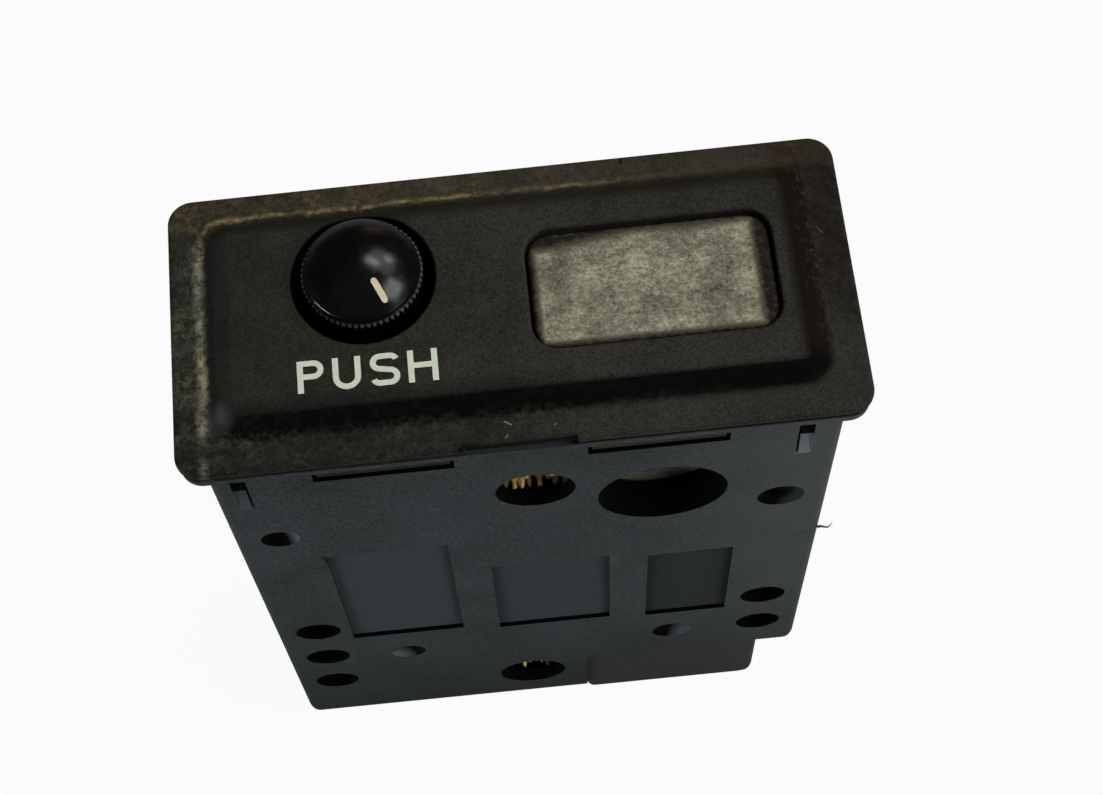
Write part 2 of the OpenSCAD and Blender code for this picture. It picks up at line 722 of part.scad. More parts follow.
module knob() {
    color("#141413") translate([knob_x, knob_y, 0]) difference() {
        union() {
            grip();
            dome();
        }
        // Socket for the shaft, with its flat
        translate([0, 0, knob_rear - 1])
            d_shaft(shaft_r + fit_gap / 2, shaft_flat + fit_gap / 2, shaft_front - knob_rear + 1.2);
        translate([0, 0, knob_rear - 1]) cylinder(r = knob_r - 1.2, h = 3.5);
        difference() {
            pointer_bar();
            translate([0, 0, dome_centre_z]) sphere(r = dome_sphere_r - 0.4, $fn = 96);
        }
    }
}

module knob_pointer() {
    color("#cfc9b4") translate([knob_x, knob_y, 0]) difference() {
        intersection() {
            pointer_bar();
            dome();
        }
        translate([0, 0, dome_centre_z]) sphere(r = dome_sphere_r - 0.4, $fn = 96);
    }
}

// Round bar with one flat, whose flat side faces up
module d_shaft(r, flat, h) {
    difference() {
        cylinder(r = r, h = h);
        translate([-r - 1, flat, -1]) cube([2 * r + 2, r, h + 2]);
    }
}

module knob_shaft() {
    neck_front = fork_front + fork_play;
    neck_back = fork_back - fork_play;
    // The flat reaches past the rotor with the knob pushed right in
    flat_front = rotor_front + over_travel + 0.3;
    color("#b9b6ae") translate([knob_x, knob_y, 0]) {
        translate([0, 0, knob_rear]) d_shaft(shaft_r, shaft_flat, shaft_front - knob_rear);
        translate([0, 0, flat_front]) cylinder(r = shaft_r, h = knob_rear - flat_front);
        translate([0, 0, neck_front]) d_shaft(shaft_r, shaft_flat, flat_front - neck_front);
        translate([0, 0, neck_back - eps]) cylinder(r = neck_r, h = neck_front - neck_back + 2 * eps);
        translate([0, 0, neck_back - button_t]) cylinder(r = shaft_r - 0.2, h = button_t);
    }
}

// Outline of the housing seen from below: a long left part and a shorter right part with rounded rear
// corners
module plan_part(x0, x1, depth, corner_x) {
    inner = corner_x < 0 ? x0 + corner_r : x1 - corner_r;
    difference() {
        translate([x0, -depth]) square([x1 - x0, depth]);
        translate([min(inner, corner_x), -depth]) square([abs(corner_x - inner), corner_r]);
    }
    intersection() {
        translate([inner, -depth + corner_r]) circle(corner_r);
        translate([x0, -depth]) square([x1 - x0, depth]);
    }
}

module plan_outline() {
    plan_part(-housing_w / 2, step_x, case_d, -housing_w / 2);
    plan_part(step_x - eps, housing_w / 2, step_d, housing_w / 2);
}

// Drills along Y through the floor at [x, z]
module floor_drill(at, r, depth) {
    translate([at[0], -housing_h / 2 - 1, at[1]]) rotate([-90, 0, 0]) cylinder(r = r, h = depth + 1);
}

module vent_holes() {
    depth = board_y + housing_h / 2 - 0.2;
    for (i = [0 : 2]) floor_drill([-vent_x, vent_left_z - i * vent_pitch], vent_r, depth);
    for (i = [0 : 1]) floor_drill([vent_x, vent_right_z - i * vent_pitch], vent_r, depth);
}

// Shallow round dimples left by the moulding pins; the second has a deeper core
module floor_dimples() {
    for (i = [0 : 3]) {
        r = i == 1 ? core_dimple_r : i == 3 ? dimple_r + 0.25 : dimple_r;
        sphere_r = (r * r + dimple_depth * dimple_depth) / (2 * dimple_depth);
        translate([dimples[i][0], -housing_h / 2 + dimple_depth - sphere_r, dimples[i][1]])
            sphere(r = sphere_r, $fn = 96);
    }
    floor_drill(dimples[1], core_r, 1.1);
}

// Recessed marking pads
module floor_pads() {
    for (p = pads)
        translate([p[0], -housing_h / 2 - 1, p[3]]) cube([p[1] - p[0], pad_depth + 1, p[2] - p[3]]);
}

// Guide grooves near the long edges, below and above, that run out at a ramp with a slot on its inner side
module edge_grooves() {
    slot = 0.3;
    for (side = [-1, 1], top = [0, 1])
        mirror([0, top, 0])
            translate([side * (housing_w / 2 - 2.45 - groove_w / 2) + groove_shift, -housing_h / 2, 0]) {
                groove_cut(groove_w, 0.35, 6.2);
                translate([side * (slot - groove_w) / 2, 0, 0]) groove_cut(slot, 0.9, 9);
            }
}

// Cut in the floor, open to the front and w wide, whose bottom rises from z = -level to its end
module groove_cut(w, depth, level) {
    translate([-w / 2, 0, 0]) rotate([90, 0, 90]) linear_extrude(w)
        polygon([[-1, -eps], [depth, -eps], [depth, -level], [0, -10.2], [-1, -10.4]]);
}

// Window that a catch snaps into
module catch_window() {
    w = catch_w + 2 * catch_gap;
    translate([-w / 2, -housing_h / 2 - 1, -window_back])
        cube([w, floor_wall + 1 + eps, window_back - catch_front]);
}

// Rails on both side walls that carry the board
module board_rails() {
    for (side = [-1, 1]) {
        rear = side < 0 ? case_d : step_d;
        len = rear - wall + board_front + eps;
        translate([side * inner_w / 2 - (side > 0 ? rail_w : eps), 0, -rear + wall - eps]) {
            translate([0, floor_y - eps, 0]) cube([rail_w + eps, board_lift + eps, len]);
            translate([0, board_top + board_gap, 0]) cube([rail_w + eps, 1, len]);
        }
    }
}

// Collar inside the floor that leads a tool through the large hole to the board
module large_collar() {
    translate([large_at[0], floor_y - eps, large_at[1]]) rotate([-90, 0, 0])
        cylinder(r = large_r + collar_wall, h = board_lift - 0.25 + eps);
}

// Connector shroud, open to the rear, with a lock nib on its roof
module shroud() {
    plan_r = 2;
    x1 = shroud_x + shroud_w / 2;
    intersection() {
        translate([shroud_x, shroud_y, 0]) rounded_block(shroud_w, shroud_h, 1, -shroud_d, -step_d + eps);
        rotate([90, 0, 0]) linear_extrude(housing_h * 2, center = true) {
            translate([step_x - 1, -shroud_d]) square([shroud_w + 1 - plan_r, shroud_d]);
            translate([step_x - 1, -shroud_d + plan_r]) square([shroud_w + 1, shroud_d]);
            translate([x1 - plan_r, -shroud_d + plan_r]) circle(plan_r);
        }
    }
    translate([step_x - 1, shroud_bottom, -case_d]) cube([3, shroud_h, case_d - step_d]);
    translate([shroud_x - 2, shroud_bottom + shroud_h, 0]) rotate([90, 0, 90]) linear_extrude(4)
        polygon([[-eps, -shroud_d + 5], [0.9, -shroud_d + 4.6], [0.9, -shroud_d + 4],
            [-eps, -shroud_d + 1.6]]);
}

module housing() {
    color("#33373b") difference() {
        union() {
            difference() {
                intersection() {
                    rounded_block(housing_w, housing_h, edge_r, -case_d, eps);
                    rotate([90, 0, 0]) linear_extrude(housing_h + 2, center = true) {
                        plan_outline();
                        translate([-housing_w / 2, -eps]) square([housing_w, 2 * eps]);
                    }
                }
                housing_cavity();
            }
            difference() {
                rounded_block(bezel_w - 2 * lip, bezel_h - 2 * lip, bezel_r - lip, 0, rim_t);
                rounded_block(inner_w, inner_h, inner_r, -1, rim_t + 1);
            }
            board_rails();
            shroud();
            large_collar();
        }
        at_catches() catch_window();
        edge_grooves();
        for (at = access_at) floor_drill(at, access_r, floor_wall + eps);
        floor_drill(large_at, large_r, floor_wall + board_lift);
        vent_holes();
        floor_dimples();
        floor_pads();
        // Mouth of the connector, and the slot behind it for the terminal base
        translate([shroud_x, shroud_y, 0])
            rounded_block(shroud_w - 2 * shroud_wall, shroud_h - 2 * shroud_wall, 0.8,
                -shroud_d - 1, shroud_floor);
        translate([shroud_x - base_w / 2 + 0.6 - fit_gap, board_top + 0.2 - fit_gap, shroud_floor - 1])
            cube([base_w - 1.2 + 2 * fit_gap, base_h - 0.4 + 2 * fit_gap, 8]);
    }
}

// Room inside the housing: the full width in front of the step and the left part behind it
module housing_cavity() {
    rounded_block(inner_w, inner_h, inner_r, -step_d + wall, 2);
    intersection() {
        rounded_block(inner_w, inner_h, inner_r, -case_d + wall, -step_d + wall + eps);
        translate([-inner_w / 2, -inner_h / 2, -case_d])
            cube([inner_w / 2 + step_x - wall, inner_h, case_d]);
    }
}

// Board drawn in plan and raised to its level; its children are plan shapes in X and Z
module in_plan(y0, t) {
    translate([0, y0 + t, 0]) rotate([90, 0, 0]) linear_extrude(t) children();
}

module circuit_board() {
    color("#8f9a7c") difference() {
        in_plan(board_y, board_t) {
            translate([-board_half, board_rear_right])
                square([2 * board_half, board_front - board_rear_right]);
            translate([-board_half, board_rear_left])
                square([board_half + board_step_x, board_rear_right - board_rear_left + eps]);
        }
        for (at = leads) board_drill(at, lead_hole_r);
        board_drill(tool_hole_at, 0.8);
        for (side = [-1, 1], z = leg_z)
            translate([knob_x + side * (sheet_x + sheet_t / 2), board_y, z])
                cube([sheet_t + 2 * fit_gap, 4 * board_t, leg_w + 2 * fit_gap], center = true);
    }
}

module board_drill(at, r) {
    translate([at[0], board_y - 1, at[1]]) rotate([-90, 0, 0]) cylinder(r = r, h = board_t + 2, $fn = 24);
}

// Conical solder joints under the board, one at each lead, with the lead's cut end below
module solder_joints() {
    color("#c9a94e") for (at = leads)
        translate([at[0], board_y, at[1]]) rotate([90, 0, 0]) {
            cylinder(r1 = min(1, lead_hole_r + 0.35), r2 = lead_w / 2 + 0.1, h = solder_h, $fn = 24);
            translate([0, 0, solder_h - eps]) cylinder(r = lead_w / 2, h = lead_tail + eps, $fn = 12);
        }
}

// Straight lead from a part down to the board's lower face
module lead(at, top) {
    translate([at[0] - lead_w / 2, board_y, at[1] - lead_w / 2]) cube([lead_w, top - board_y, lead_w]);
}

// Bent steel sheet that carries the dimmer: a front plate, two wings with legs and two rear tabs
module dimmer_bracket() {
    top = latch_roof + latch_roof_t;
    bottom = -latch_inner;
    wing_back = latch_back - fit_gap - sheet_t;
    color("#a9aca8") translate([knob_x, knob_y, 0]) {
        difference() {
            translate([-sheet_x - sheet_t, bottom, wafer_front])
                cube([2 * (sheet_x + sheet_t), top - bottom, sheet_t]);
            translate([0, 0, wafer_front - 1]) cylinder(r = shaft_r + 0.9 + fit_gap / 2, h = 5);
        }
        for (side = [0, 1]) mirror([side, 0, 0]) {
            translate([sheet_x, bottom, wing_back])
                cube([sheet_t, top - bottom, wafer_front - wing_back + eps]);
            translate([sheet_x - 3, -2, wing_back]) cube([3 + eps, 4, sheet_t]);
            for (z = leg_z)
                translate([sheet_x, board_y - knob_y - 0.8, z - leg_w / 2])
                    cube([sheet_t, bottom - board_y + knob_y + 0.8 + eps, leg_w]);
        }
    }
}

// Die-cast bushing riveted to the bracket
module bushing() {
    color("#c2bfb6") translate([knob_x, knob_y, 0]) difference() {
        union() {
            translate([0, 0, bracket_front]) cylinder(r = shaft_r + 1.6, h = bushing_len);
            translate([0, 0, wafer_front]) cylinder(r = shaft_r + 0.9, h = sheet_t + eps);
        }
        translate([0, 0, wafer_front - 1]) cylinder(r = shaft_r + run_gap, h = bushing_len + sheet_t + 2);
    }
}

// Phenolic wafer with the carbon track; its tail stands behind the terminals' leads
module resistor_wafer() {
    tail = board_top - knob_y + tail_rise * 0.36;
    color("#6b4a2c") translate([knob_x, knob_y, case_front]) difference() {
        union() {
            translate([-body_half, -body_half, 0]) cube([dimmer_w, 2 * body_half, wafer_t]);
            translate([-body_half + 1, tail, 0]) cube([dimmer_w - 2, -body_half - tail + eps, wafer_t]);
        }
        translate([0, 0, -1]) cylinder(r = shaft_r + 0.6, h = wafer_t + 2);
        // Worn carbon track, a shallow ring in the wafer's rear face
        translate([0, 0, -eps]) difference() {
            cylinder(r = track_r + 0.45, h = 0.1 + eps);
            translate([0, 0, -1]) cylinder(r = track_r - 0.45, h = 3);
        }
    }
}

// Cup that holds the rotor, with its end stop, its bearing and two feet on the board
module dimmer_case() {
    foot = board_top - knob_y;
    color("#2b2a28") translate([knob_x, knob_y, 0]) {
        difference() {
            translate([-body_half, -body_half, case_back])
                cube([dimmer_w, 2 * body_half, case_front - case_back]);
            translate([0, 0, cavity_back]) cylinder(r = cavity_r, h = 20);
            translate([0, 0, case_back - 1]) cylinder(r = hub_r + run_gap, h = 20);
        }
        // End stop inside the cup, opposite the middle of the turning range
        rotate(270 - pointer_angle - lug_half - stop_half - 1)
            sector(rotor_r + 0.15, cavity_r + eps, stop_half, cavity_back - eps, case_front);
        for (side = [-1, 1]) translate([side * (body_half - 3) - 1, foot, case_back])
            cube([2, -body_half - foot + eps, case_front - case_back - 1]);
    }
}

// Part of a ring, half degrees to each side of the X axis
module sector(r0, r1, half, z0, z1) {
    translate([0, 0, z0]) linear_extrude(z1 - z0) intersection() {
        difference() {
            circle(r1);
            circle(r0);
        }
        polygon([[0, 0], [2 * r1, -2 * r1 * tan(half)], [2 * r1, 2 * r1 * tan(half)]]);
    }
}

module rotor() {
    color("#d6d2c4") translate([knob_x, knob_y, 0]) difference() {
        union() {
            translate([0, 0, rotor_back]) cylinder(r = rotor_r, h = rotor_t);
            translate([0, 0, hub_back]) cylinder(r = hub_r, h = rotor_back - hub_back + eps);
            rotate(270 - pointer_angle)
                sector(rotor_r - 0.5, rotor_r + rotor_lug, lug_half, rotor_back, rotor_front);
        }
        translate([0, 0, hub_back - 1]) d_shaft(shaft_r + run_gap, shaft_flat + run_gap, 20);
    }
}

// Brass wiper on the rotor's face, with two fingers that reach the track
module wiper() {
    sheet = 0.3;
    color("#c9a14a") translate([knob_x, knob_y, rotor_front]) {
        difference() {
            cylinder(r = rotor_r - 0.3, h = sheet);
            translate([0, 0, -1]) cylinder(r = rotor_r - 0.3 - wiper_w, h = 3);
        }
        for (a = [-12, 12]) rotate(a) translate([0, -track_r, sheet - eps])
            cylinder(r1 = 0.45, r2 = 0.2, h = wiper_lift - sheet + eps, $fn = 24);
    }
}

// Flat terminals riveted on the wafer's face below the bracket, each with a lead into the board
module dimmer_terminals() {
    top = knob_y - latch_inner - tag_gap;
    color("#d2cfc6") for (at = dimmer_leads) {
        lead(at, top - tag_h / 2);
        translate([at[0] - tag_w / 2, top - tag_h, wafer_front]) cube([tag_w, tag_h, tag_t]);
        translate([at[0], top - tag_h / 2, wafer_front + tag_t - eps])
            cylinder(d = tag_w / 2, h = 0.2 + eps);
    }
}

// Latch body behind the dimmer: a channel for the slider with a stub for the spring and feet on the board
module latch_case() {
    foot = board_top - knob_y;
    color("#32302d") translate([knob_x, knob_y, 0]) {
        difference() {
            translate([-body_half, latch_floor, latch_back])
                cube([dimmer_w, latch_roof + latch_roof_t - latch_floor, case_back - latch_back]);
            translate([-latch_inner, -latch_inner, latch_back_in])
                cube([2 * latch_inner, latch_inner + latch_roof, case_back - latch_back_in + 1]);
            translate([0, latch_roof - 1, pivot_z]) rotate([-90, 0, 0])
                cylinder(r = latch_wire_r + run_gap, h = latch_roof_t + 2, $fn = 24);
        }
        translate([0, 0, latch_back_in - eps]) cylinder(r = spring_r - wire_r - 0.4, h = 2.6);
        for (side = [-1, 1], z = [case_back - 6, latch_back + 3])
            translate([side * 5.5 - 1, foot, z - 1.5]) cube([2, latch_floor - foot + eps, 3]);
    }
}

// Slider with a fork that grips the shaft's neck and a heart-shaped cam on its top
module latch_slider() {
    r = slider_r;
    color("#e3dfd2") translate([knob_x, knob_y, 0]) difference() {
        union() {
            translate([-r, -r, fork_back]) cube([2 * r, 2 * r, fork_t]);
            translate([-r, -r, slider_rear_back])
                cube([2 * r, 2 * r, slider_rear_front - slider_rear_back]);
            for (side = [0, 1]) mirror([side, 0, 0]) translate([r - slider_wall, -r, slider_rear_back])
                cube([slider_wall, 2 * r, fork_front - slider_rear_back]);
            translate([-r, r - slider_wall, cam_end]) cube([2 * r, slider_wall, fork_front - cam_end]);
        }
        translate([0, 0, fork_back - 1]) cylinder(r = neck_r + 0.15, h = fork_t + 2);
        translate([-neck_r - 0.15, -r - 1, fork_back - 1])
            cube([2 * neck_r + 0.3, r + 1, fork_t + 2]);
        cam_track();
    }
}

// Track of the latch pin: a loop round a heart-shaped island
module cam_track() {
    half = tip_swing + latch_wire_r + 0.4;
    translate([0, cam_top - track_depth, 0]) rotate([-90, 0, 0])
        linear_extrude(track_depth + 1) difference() {
            translate([-half, -track_front]) square([2 * half, track_front - track_back]);
            translate([0, -tip_z]) polygon([[-0.8, 0.8], [-0.35, 1.5], [0.25, 3.8], [0, 4.7], [-0.6, 5],
                [-1.1, 4.2], [-1.15, 1.7]]);
        }
}

// Bent wire that swings in the cam's track
module latch_pin() {
    w = latch_wire_r;
    color("#8d8f90") translate([knob_x, knob_y, 0]) {
        translate([0, arm_y, pivot_z]) rotate([-90, 0, 0])
            cylinder(r = w, h = latch_roof + 0.8 - arm_y, $fn = 24);
        translate([0, arm_y, pivot_z]) sphere(r = w, $fn = 24);
        translate([0, arm_y, tip_z]) cylinder(r = w, h = latch_arm, $fn = 24);
        translate([0, arm_y, tip_z]) sphere(r = w, $fn = 24);
        translate([0, cam_top - track_depth + 0.2, tip_z]) rotate([-90, 0, 0])
            cylinder(r = w, h = arm_y - cam_top + track_depth - 0.2, $fn = 24);
    }
}

// Point on the spring's wire: t runs from 0 to 1 along its length, a turns round the wire
function spring_point(t, a, h) = let (turn = 360 * spring_turns * t, r = spring_r + wire_r * cos(a))
    [r * cos(turn), r * sin(turn), wire_r + t * (h - 2 * wire_r) + wire_r * sin(a)];

// Return spring between the slider and the latch body's rear wall
module return_spring() {
    sides = 6;
    rings = 16 * spring_turns;
    points = [for (i = [0 : rings], k = [0 : sides - 1])
        spring_point(i / rings, k * 360 / sides, spring_len)];
    walls = [for (i = [0 : rings - 1], k = [0 : sides - 1])
        let (n = (k + 1) % sides, here = i * sides, next = here + sides)
            each [[here + k, here + n, next + n], [here + k, next + n, next + k]]];
    first = [for (k = [sides - 1 : -1 : 0]) k];
    last = [for (k = [0 : sides - 1]) rings * sides + k];
    color("#9da0a2") translate([knob_x, knob_y, latch_back_in])
        polyhedron(points = points, faces = concat(walls, [first, last]));
}

// Hybrid control circuit on a zigzag row of leads
module control_module() {
    color("#3b2f2a") {
        translate([control_at[0] - control_w / 2, board_top + 0.4, control_at[1] - control_t / 2])
            cube([control_w, control_h, control_t]);
        for (at = control_leads) lead(at, board_top + 0.4 + eps);
    }
}

// Electrolytic capacitor lying on the board, with its crimped groove
module filter_capacitor() {
    y = board_top + cap_r;
    z = cap_at[1] - cap_len;
    color("#26324a") {
        translate([cap_at[0], y, z]) rotate_extrude()
            polygon([[0, 0], [cap_r - 0.3, 0], [cap_r, 0.3], [cap_r, 1.6], [cap_r - 0.4, 2],
                [cap_r - 0.4, 2.4], [cap_r, 2.8], [cap_r, cap_len - 0.4], [cap_r - 0.4, cap_len],
                [0, cap_len]]);
        for (at = cap_leads) {
            lead(at, y + lead_w / 2);
            translate([at[0] - lead_w / 2, y - lead_w / 2, at[1]]) cube([lead_w, lead_w, z - at[1] + eps]);
        }
    }
}

// Extruded aluminium channel with a tapped hole for the transistor's screw
module heat_sink() {
    fin_rise = sink_h - sink_base;
    color("#b4b6b5") difference() {
        translate([sink_at[0], board_top, sink_at[1]]) mirror([0, 0, 1]) linear_extrude(sink_len) {
            translate([-sink_w / 2, 0]) square([sink_w, sink_base]);
            for (side = [0, 1]) mirror([side, 0]) {
                translate([sink_w / 2 - sink_fin, 0]) square([sink_fin, sink_h]);
                for (i = [1 : 3]) translate([sink_w / 2 - sink_fin - 0.5, sink_base + i * fin_rise / 4])
                    square([0.6, 0.8]);
            }
        }
        translate([sink_at[0], board_top - 1, screw_z()]) rotate([-90, 0, 0])
            cylinder(r = screw_r + fit_gap / 2, h = sink_base + 2);
    }
}

function screw_z() = sink_at[1] - screw_inset;

// Power transistor with its metal tab flat on the heat sink
module power_transistor() {
    y = board_top + sink_base;
    lead_y = y + transistor_t * 0.55;
    body_back = screw_z() - tab_neck - transistor_len;
    color("#1b1b1d") difference() {
        union() {
            translate([sink_at[0] - transistor_w / 2, y, screw_z() - tab_neck - eps])
                cube([transistor_w, tab_t, tab_neck + tab_nose]);
            translate([sink_at[0] - transistor_w / 2, y, body_back])
                cube([transistor_w, transistor_t, transistor_len]);
            for (at = transistor_leads) {
                lead(at, lead_y + lead_w / 2);
                translate([at[0] - lead_w / 2, lead_y - lead_w / 2, at[1]])
                    cube([lead_w, lead_w, body_back - at[1] + eps]);
            }
        }
        translate([sink_at[0], y - 1, screw_z()]) rotate([-90, 0, 0])
            cylinder(r = screw_r + 0.35, h = tab_t + 2);
    }
}

// Pan-head screw through the tab
module transistor_screw() {
    y = board_top + sink_base + tab_t;
    color("#c8c6bd") translate([sink_at[0], y, screw_z()]) rotate([-90, 0, 0]) difference() {
        union() {
            translate([0, 0, -tab_t - sink_base + 0.4]) cylinder(r = screw_r, h = tab_t + sink_base);
            cylinder(r1 = screw_head_r, r2 = screw_head_r - 0.4, h = screw_head_h);
        }
        for (a = [0, 90]) rotate(a) translate([-1.7, -0.35, screw_head_h / 2])
            cube([3.4, 0.7, screw_head_h]);
    }
}

module film_capacitor() {
    color("#a33c26") {
        translate([film_at[0] - film_w / 2, board_top + 0.3, film_at[1] - film_t / 2])
            cube([film_w, film_h, film_t]);
        for (at = film_leads) lead(at, board_top + 0.3 + eps);
    }
}

// Part with a round body between two bent leads, lying along X
module axial_part(ends, r, len) {
    y = board_top + r + 0.2;
    mid = (ends[0][0] + ends[1][0]) / 2;
    translate([mid - len / 2, y, ends[0][1]]) rotate([0, 90, 0]) {
        translate([0, 0, 1.2]) cylinder(r = r * 0.88, h = len - 2.4, $fn = 24);
        cylinder(r = r, h = 1.4, $fn = 24);
        translate([0, 0, len - 1.4]) cylinder(r = r, h = 1.4, $fn = 24);
    }
    for (i = [0, 1]) {
        lead(ends[i], y + lead_w / 2);
        translate([min(ends[i][0], mid), y - lead_w / 2, ends[i][1] - lead_w / 2])
            cube([abs(ends[i][0] - mid), lead_w, lead_w]);
    }
}

module resistors() {
    color("#c7b48a") for (i = [0 : resistor_count - 1])
        axial_part(pair([resistor_at[0], resistor_at[1] - i * resistor_pitch], resistor_half), resistor_r,
            resistor_len);
}

module diodes() {
    color("#2a2a2c") for (i = [0, 1])
        axial_part(pair([diode_at[0], diode_at[1] - i * resistor_pitch], diode_half), diode_r, diode_len);
}

// Two small transistors with D-shaped bodies
module driver_transistors() {
    color("#232325") for (i = [0, 1]) {
        at = [driver_at[0] - i * driver_pitch, driver_at[1]];
        translate([at[0], board_top + 1.5, at[1]]) rotate([-90, 0, 0]) difference() {
            cylinder(r = driver_r, h = driver_h);
            translate([-driver_r - 1, driver_r / 2, -1]) cube([2 * driver_r + 2, driver_r, driver_h + 2]);
        }
        for (l = row(at, 3, 1.9)) lead(l, board_top + 1.5 + eps);
    }
}

// Wound choke on a drum core
module noise_choke() {
    color("#7a4a2a") translate([choke_at[0], board_top, choke_at[1]]) rotate([-90, 0, 0]) {
        cylinder(r = choke_r, h = 1.2);
        translate([0, 0, choke_h - 1.2]) cylinder(r = choke_r, h = 1.2);
        translate([0, 0, 1]) cylinder(r = choke_r - 0.7, h = choke_h - 2);
    }
    color("#7a4a2a") for (at = choke_leads) lead(at, board_top + eps);
}

// Moulded block that holds the terminals, with a spigot in the housing's rear wall
module terminal_base() {
    color("#4a4d50") difference() {
        union() {
            translate([shroud_x - base_w / 2, board_top, base_back])
                cube([base_w, base_h, base_front - base_back]);
            translate([shroud_x - base_w / 2 + 0.6, board_top + 0.2, shroud_floor + 0.2])
                cube([base_w - 1.2, base_h - 0.4, base_back - shroud_floor - 0.2 + eps]);
        }
        for (r = [0, 1], x = [for (l = row([shroud_x, 0], pins_per_row, pin_pitch)) l[0]])
            translate([x - pin_w / 2 - fit_gap / 2, rows_y[r] - pin_w / 2 - fit_gap / 2, shroud_floor - 1])
                cube([pin_w + fit_gap, pin_w + fit_gap, 20]);
    }
}

// Bent square terminals in two rows, with tapered tips
module connector_terminals() {
    color("#c8b27a") for (r = [0, 1], l = row([shroud_x, pin_bends[r]], pins_per_row, pin_pitch)) {
        y = rows_y[r];
        translate([l[0] - pin_w / 2, y - pin_w / 2, pin_tip + 0.8])
            cube([pin_w, pin_w, pin_bends[r] - pin_tip - 0.8 + lead_w / 2]);
        translate([l[0], y, pin_tip]) rotate(45)
            cylinder(r1 = pin_w * 0.35, r2 = pin_w / sqrt(2), h = 0.8 + eps, $fn = 4);
        lead(l, y + pin_w / 2);
    }
}

front_bezel();
window_insert();
knob();
knob_pointer();
housing();
circuit_board();
solder_joints();
dimmer_bracket();
bushing();
resistor_wafer();
dimmer_case();
dimmer_terminals();
rotor();
wiper();
knob_shaft();
latch_case();
latch_slider();
latch_pin();
return_spring();
control_module();
filter_capacitor();
heat_sink();
power_transistor();
transistor_screw();
film_capacitor();
resistors();
diodes();
driver_transistors();
noise_choke();
terminal_base();
connector_terminals();
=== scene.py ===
import math
import bmesh
import bpy
from mathutils import Matrix, Vector


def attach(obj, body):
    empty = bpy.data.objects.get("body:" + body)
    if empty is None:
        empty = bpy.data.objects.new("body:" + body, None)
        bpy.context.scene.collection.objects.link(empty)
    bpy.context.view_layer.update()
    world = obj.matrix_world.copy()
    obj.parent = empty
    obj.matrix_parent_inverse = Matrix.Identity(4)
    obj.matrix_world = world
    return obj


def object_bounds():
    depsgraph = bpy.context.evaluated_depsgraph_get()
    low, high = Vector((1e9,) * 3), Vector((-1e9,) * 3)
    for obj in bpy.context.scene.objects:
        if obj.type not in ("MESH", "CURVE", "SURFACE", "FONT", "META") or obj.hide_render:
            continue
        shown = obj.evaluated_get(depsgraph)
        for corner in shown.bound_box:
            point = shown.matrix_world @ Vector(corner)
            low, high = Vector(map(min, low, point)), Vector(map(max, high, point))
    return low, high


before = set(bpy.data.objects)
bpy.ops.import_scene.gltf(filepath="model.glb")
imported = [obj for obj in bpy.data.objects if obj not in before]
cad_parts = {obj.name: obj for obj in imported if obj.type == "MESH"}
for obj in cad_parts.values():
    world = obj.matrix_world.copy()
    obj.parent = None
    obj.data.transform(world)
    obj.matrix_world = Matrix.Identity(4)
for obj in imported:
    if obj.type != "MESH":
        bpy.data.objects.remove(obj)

cad_low, cad_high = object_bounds()
MM = 0.001

# Planes and places of the object that several finishes and pieces refer to, in mm
FLANGE_Z = 2.5
PANEL_Z = 3.9
UNDERSIDE_Y = -12.8
KNOB_AXIS = (-13.5, 3.4)

MOTTLE = 0.8  # size of a noise pattern's mottles at scale 1, in mm


# small helpers

def hex_colour(code):
    """Turns an sRGB hex value to the linear colour that a node takes."""
    parts = [int(code[i:i + 2], 16) / 255 for i in (1, 3, 5)]
    return tuple(c / 12.92 if c <= 0.04045 else ((c + 0.055) / 1.055) ** 2.4 for c in parts) + (1.0,)


def add(tree, kind, *values, **settings):
    """Adds a node with its settings and links, and returns it. The values go to its inputs in order, or by the keys
    of a dict. A value is plain, a hex colour, an output, or a node, which stands for its first output in use."""
    made = tree.nodes.new("ShaderNode" + kind)
    for key, value in settings.items():
        setattr(made, key, value)
    inputs = {}
    for number, value in enumerate(values):
        inputs.update(value if isinstance(value, dict) else {number: value})
    for key, value in inputs.items():
        if isinstance(value, bpy.types.Node):
            value = next(output for output in value.outputs if output.enabled)
        if isinstance(value, bpy.types.NodeSocket):
            tree.links.new(value, made.inputs[key])
        else:
            made.inputs[key].default_value = hex_colour(value) if isinstance(value, str) else value
    return made


def cover(tree, *shares):
    """The product of the shares. Each is a number, a node, or a tuple that turns a value to a share: the value, where
    it starts and ends, and the shares there, which are 0 and 1 unless given."""
    product = None
    for share in shares:
        if isinstance(share, tuple):
            value, start, end, low, high = share if len(share) == 5 else (*share, 0.0, 1.0)
            share = add(tree, "MapRange", value, start, end, low, high)
        product = share if product is None else add(tree, "Math", product, share, operation="MULTIPLY")
    return product


def either(tree, *values):
    """The greatest of the values."""
    result = values[0]
    for value in values[1:]:
        result = add(tree, "Math", result, value, operation="MAXIMUM")
    return result


def layered(tree, ground, *layers):
    """A colour built up like paint: each layer is a share, as for cover, and the colour that it lays on top."""
    for share, colour in layers:
        # Inputs 6 and 7 are the two colours, the lower and the upper one
        ground = add(tree, "Mix", {0: cover(tree, share), 6: ground, 7: colour}, data_type="RGBA")
    return ground


def within(tree, value, low, high, soft=0.01):
    """1 where the value lies between low and high, and 0 beyond a soft edge."""
    off = add(tree, "Math", add(tree, "Math", value, (low + high) / 2, operation="SUBTRACT"), operation="ABSOLUTE")
    half = (high - low) / 2
    return cover(tree, (off, half, half + soft, 1.0, 0.0))


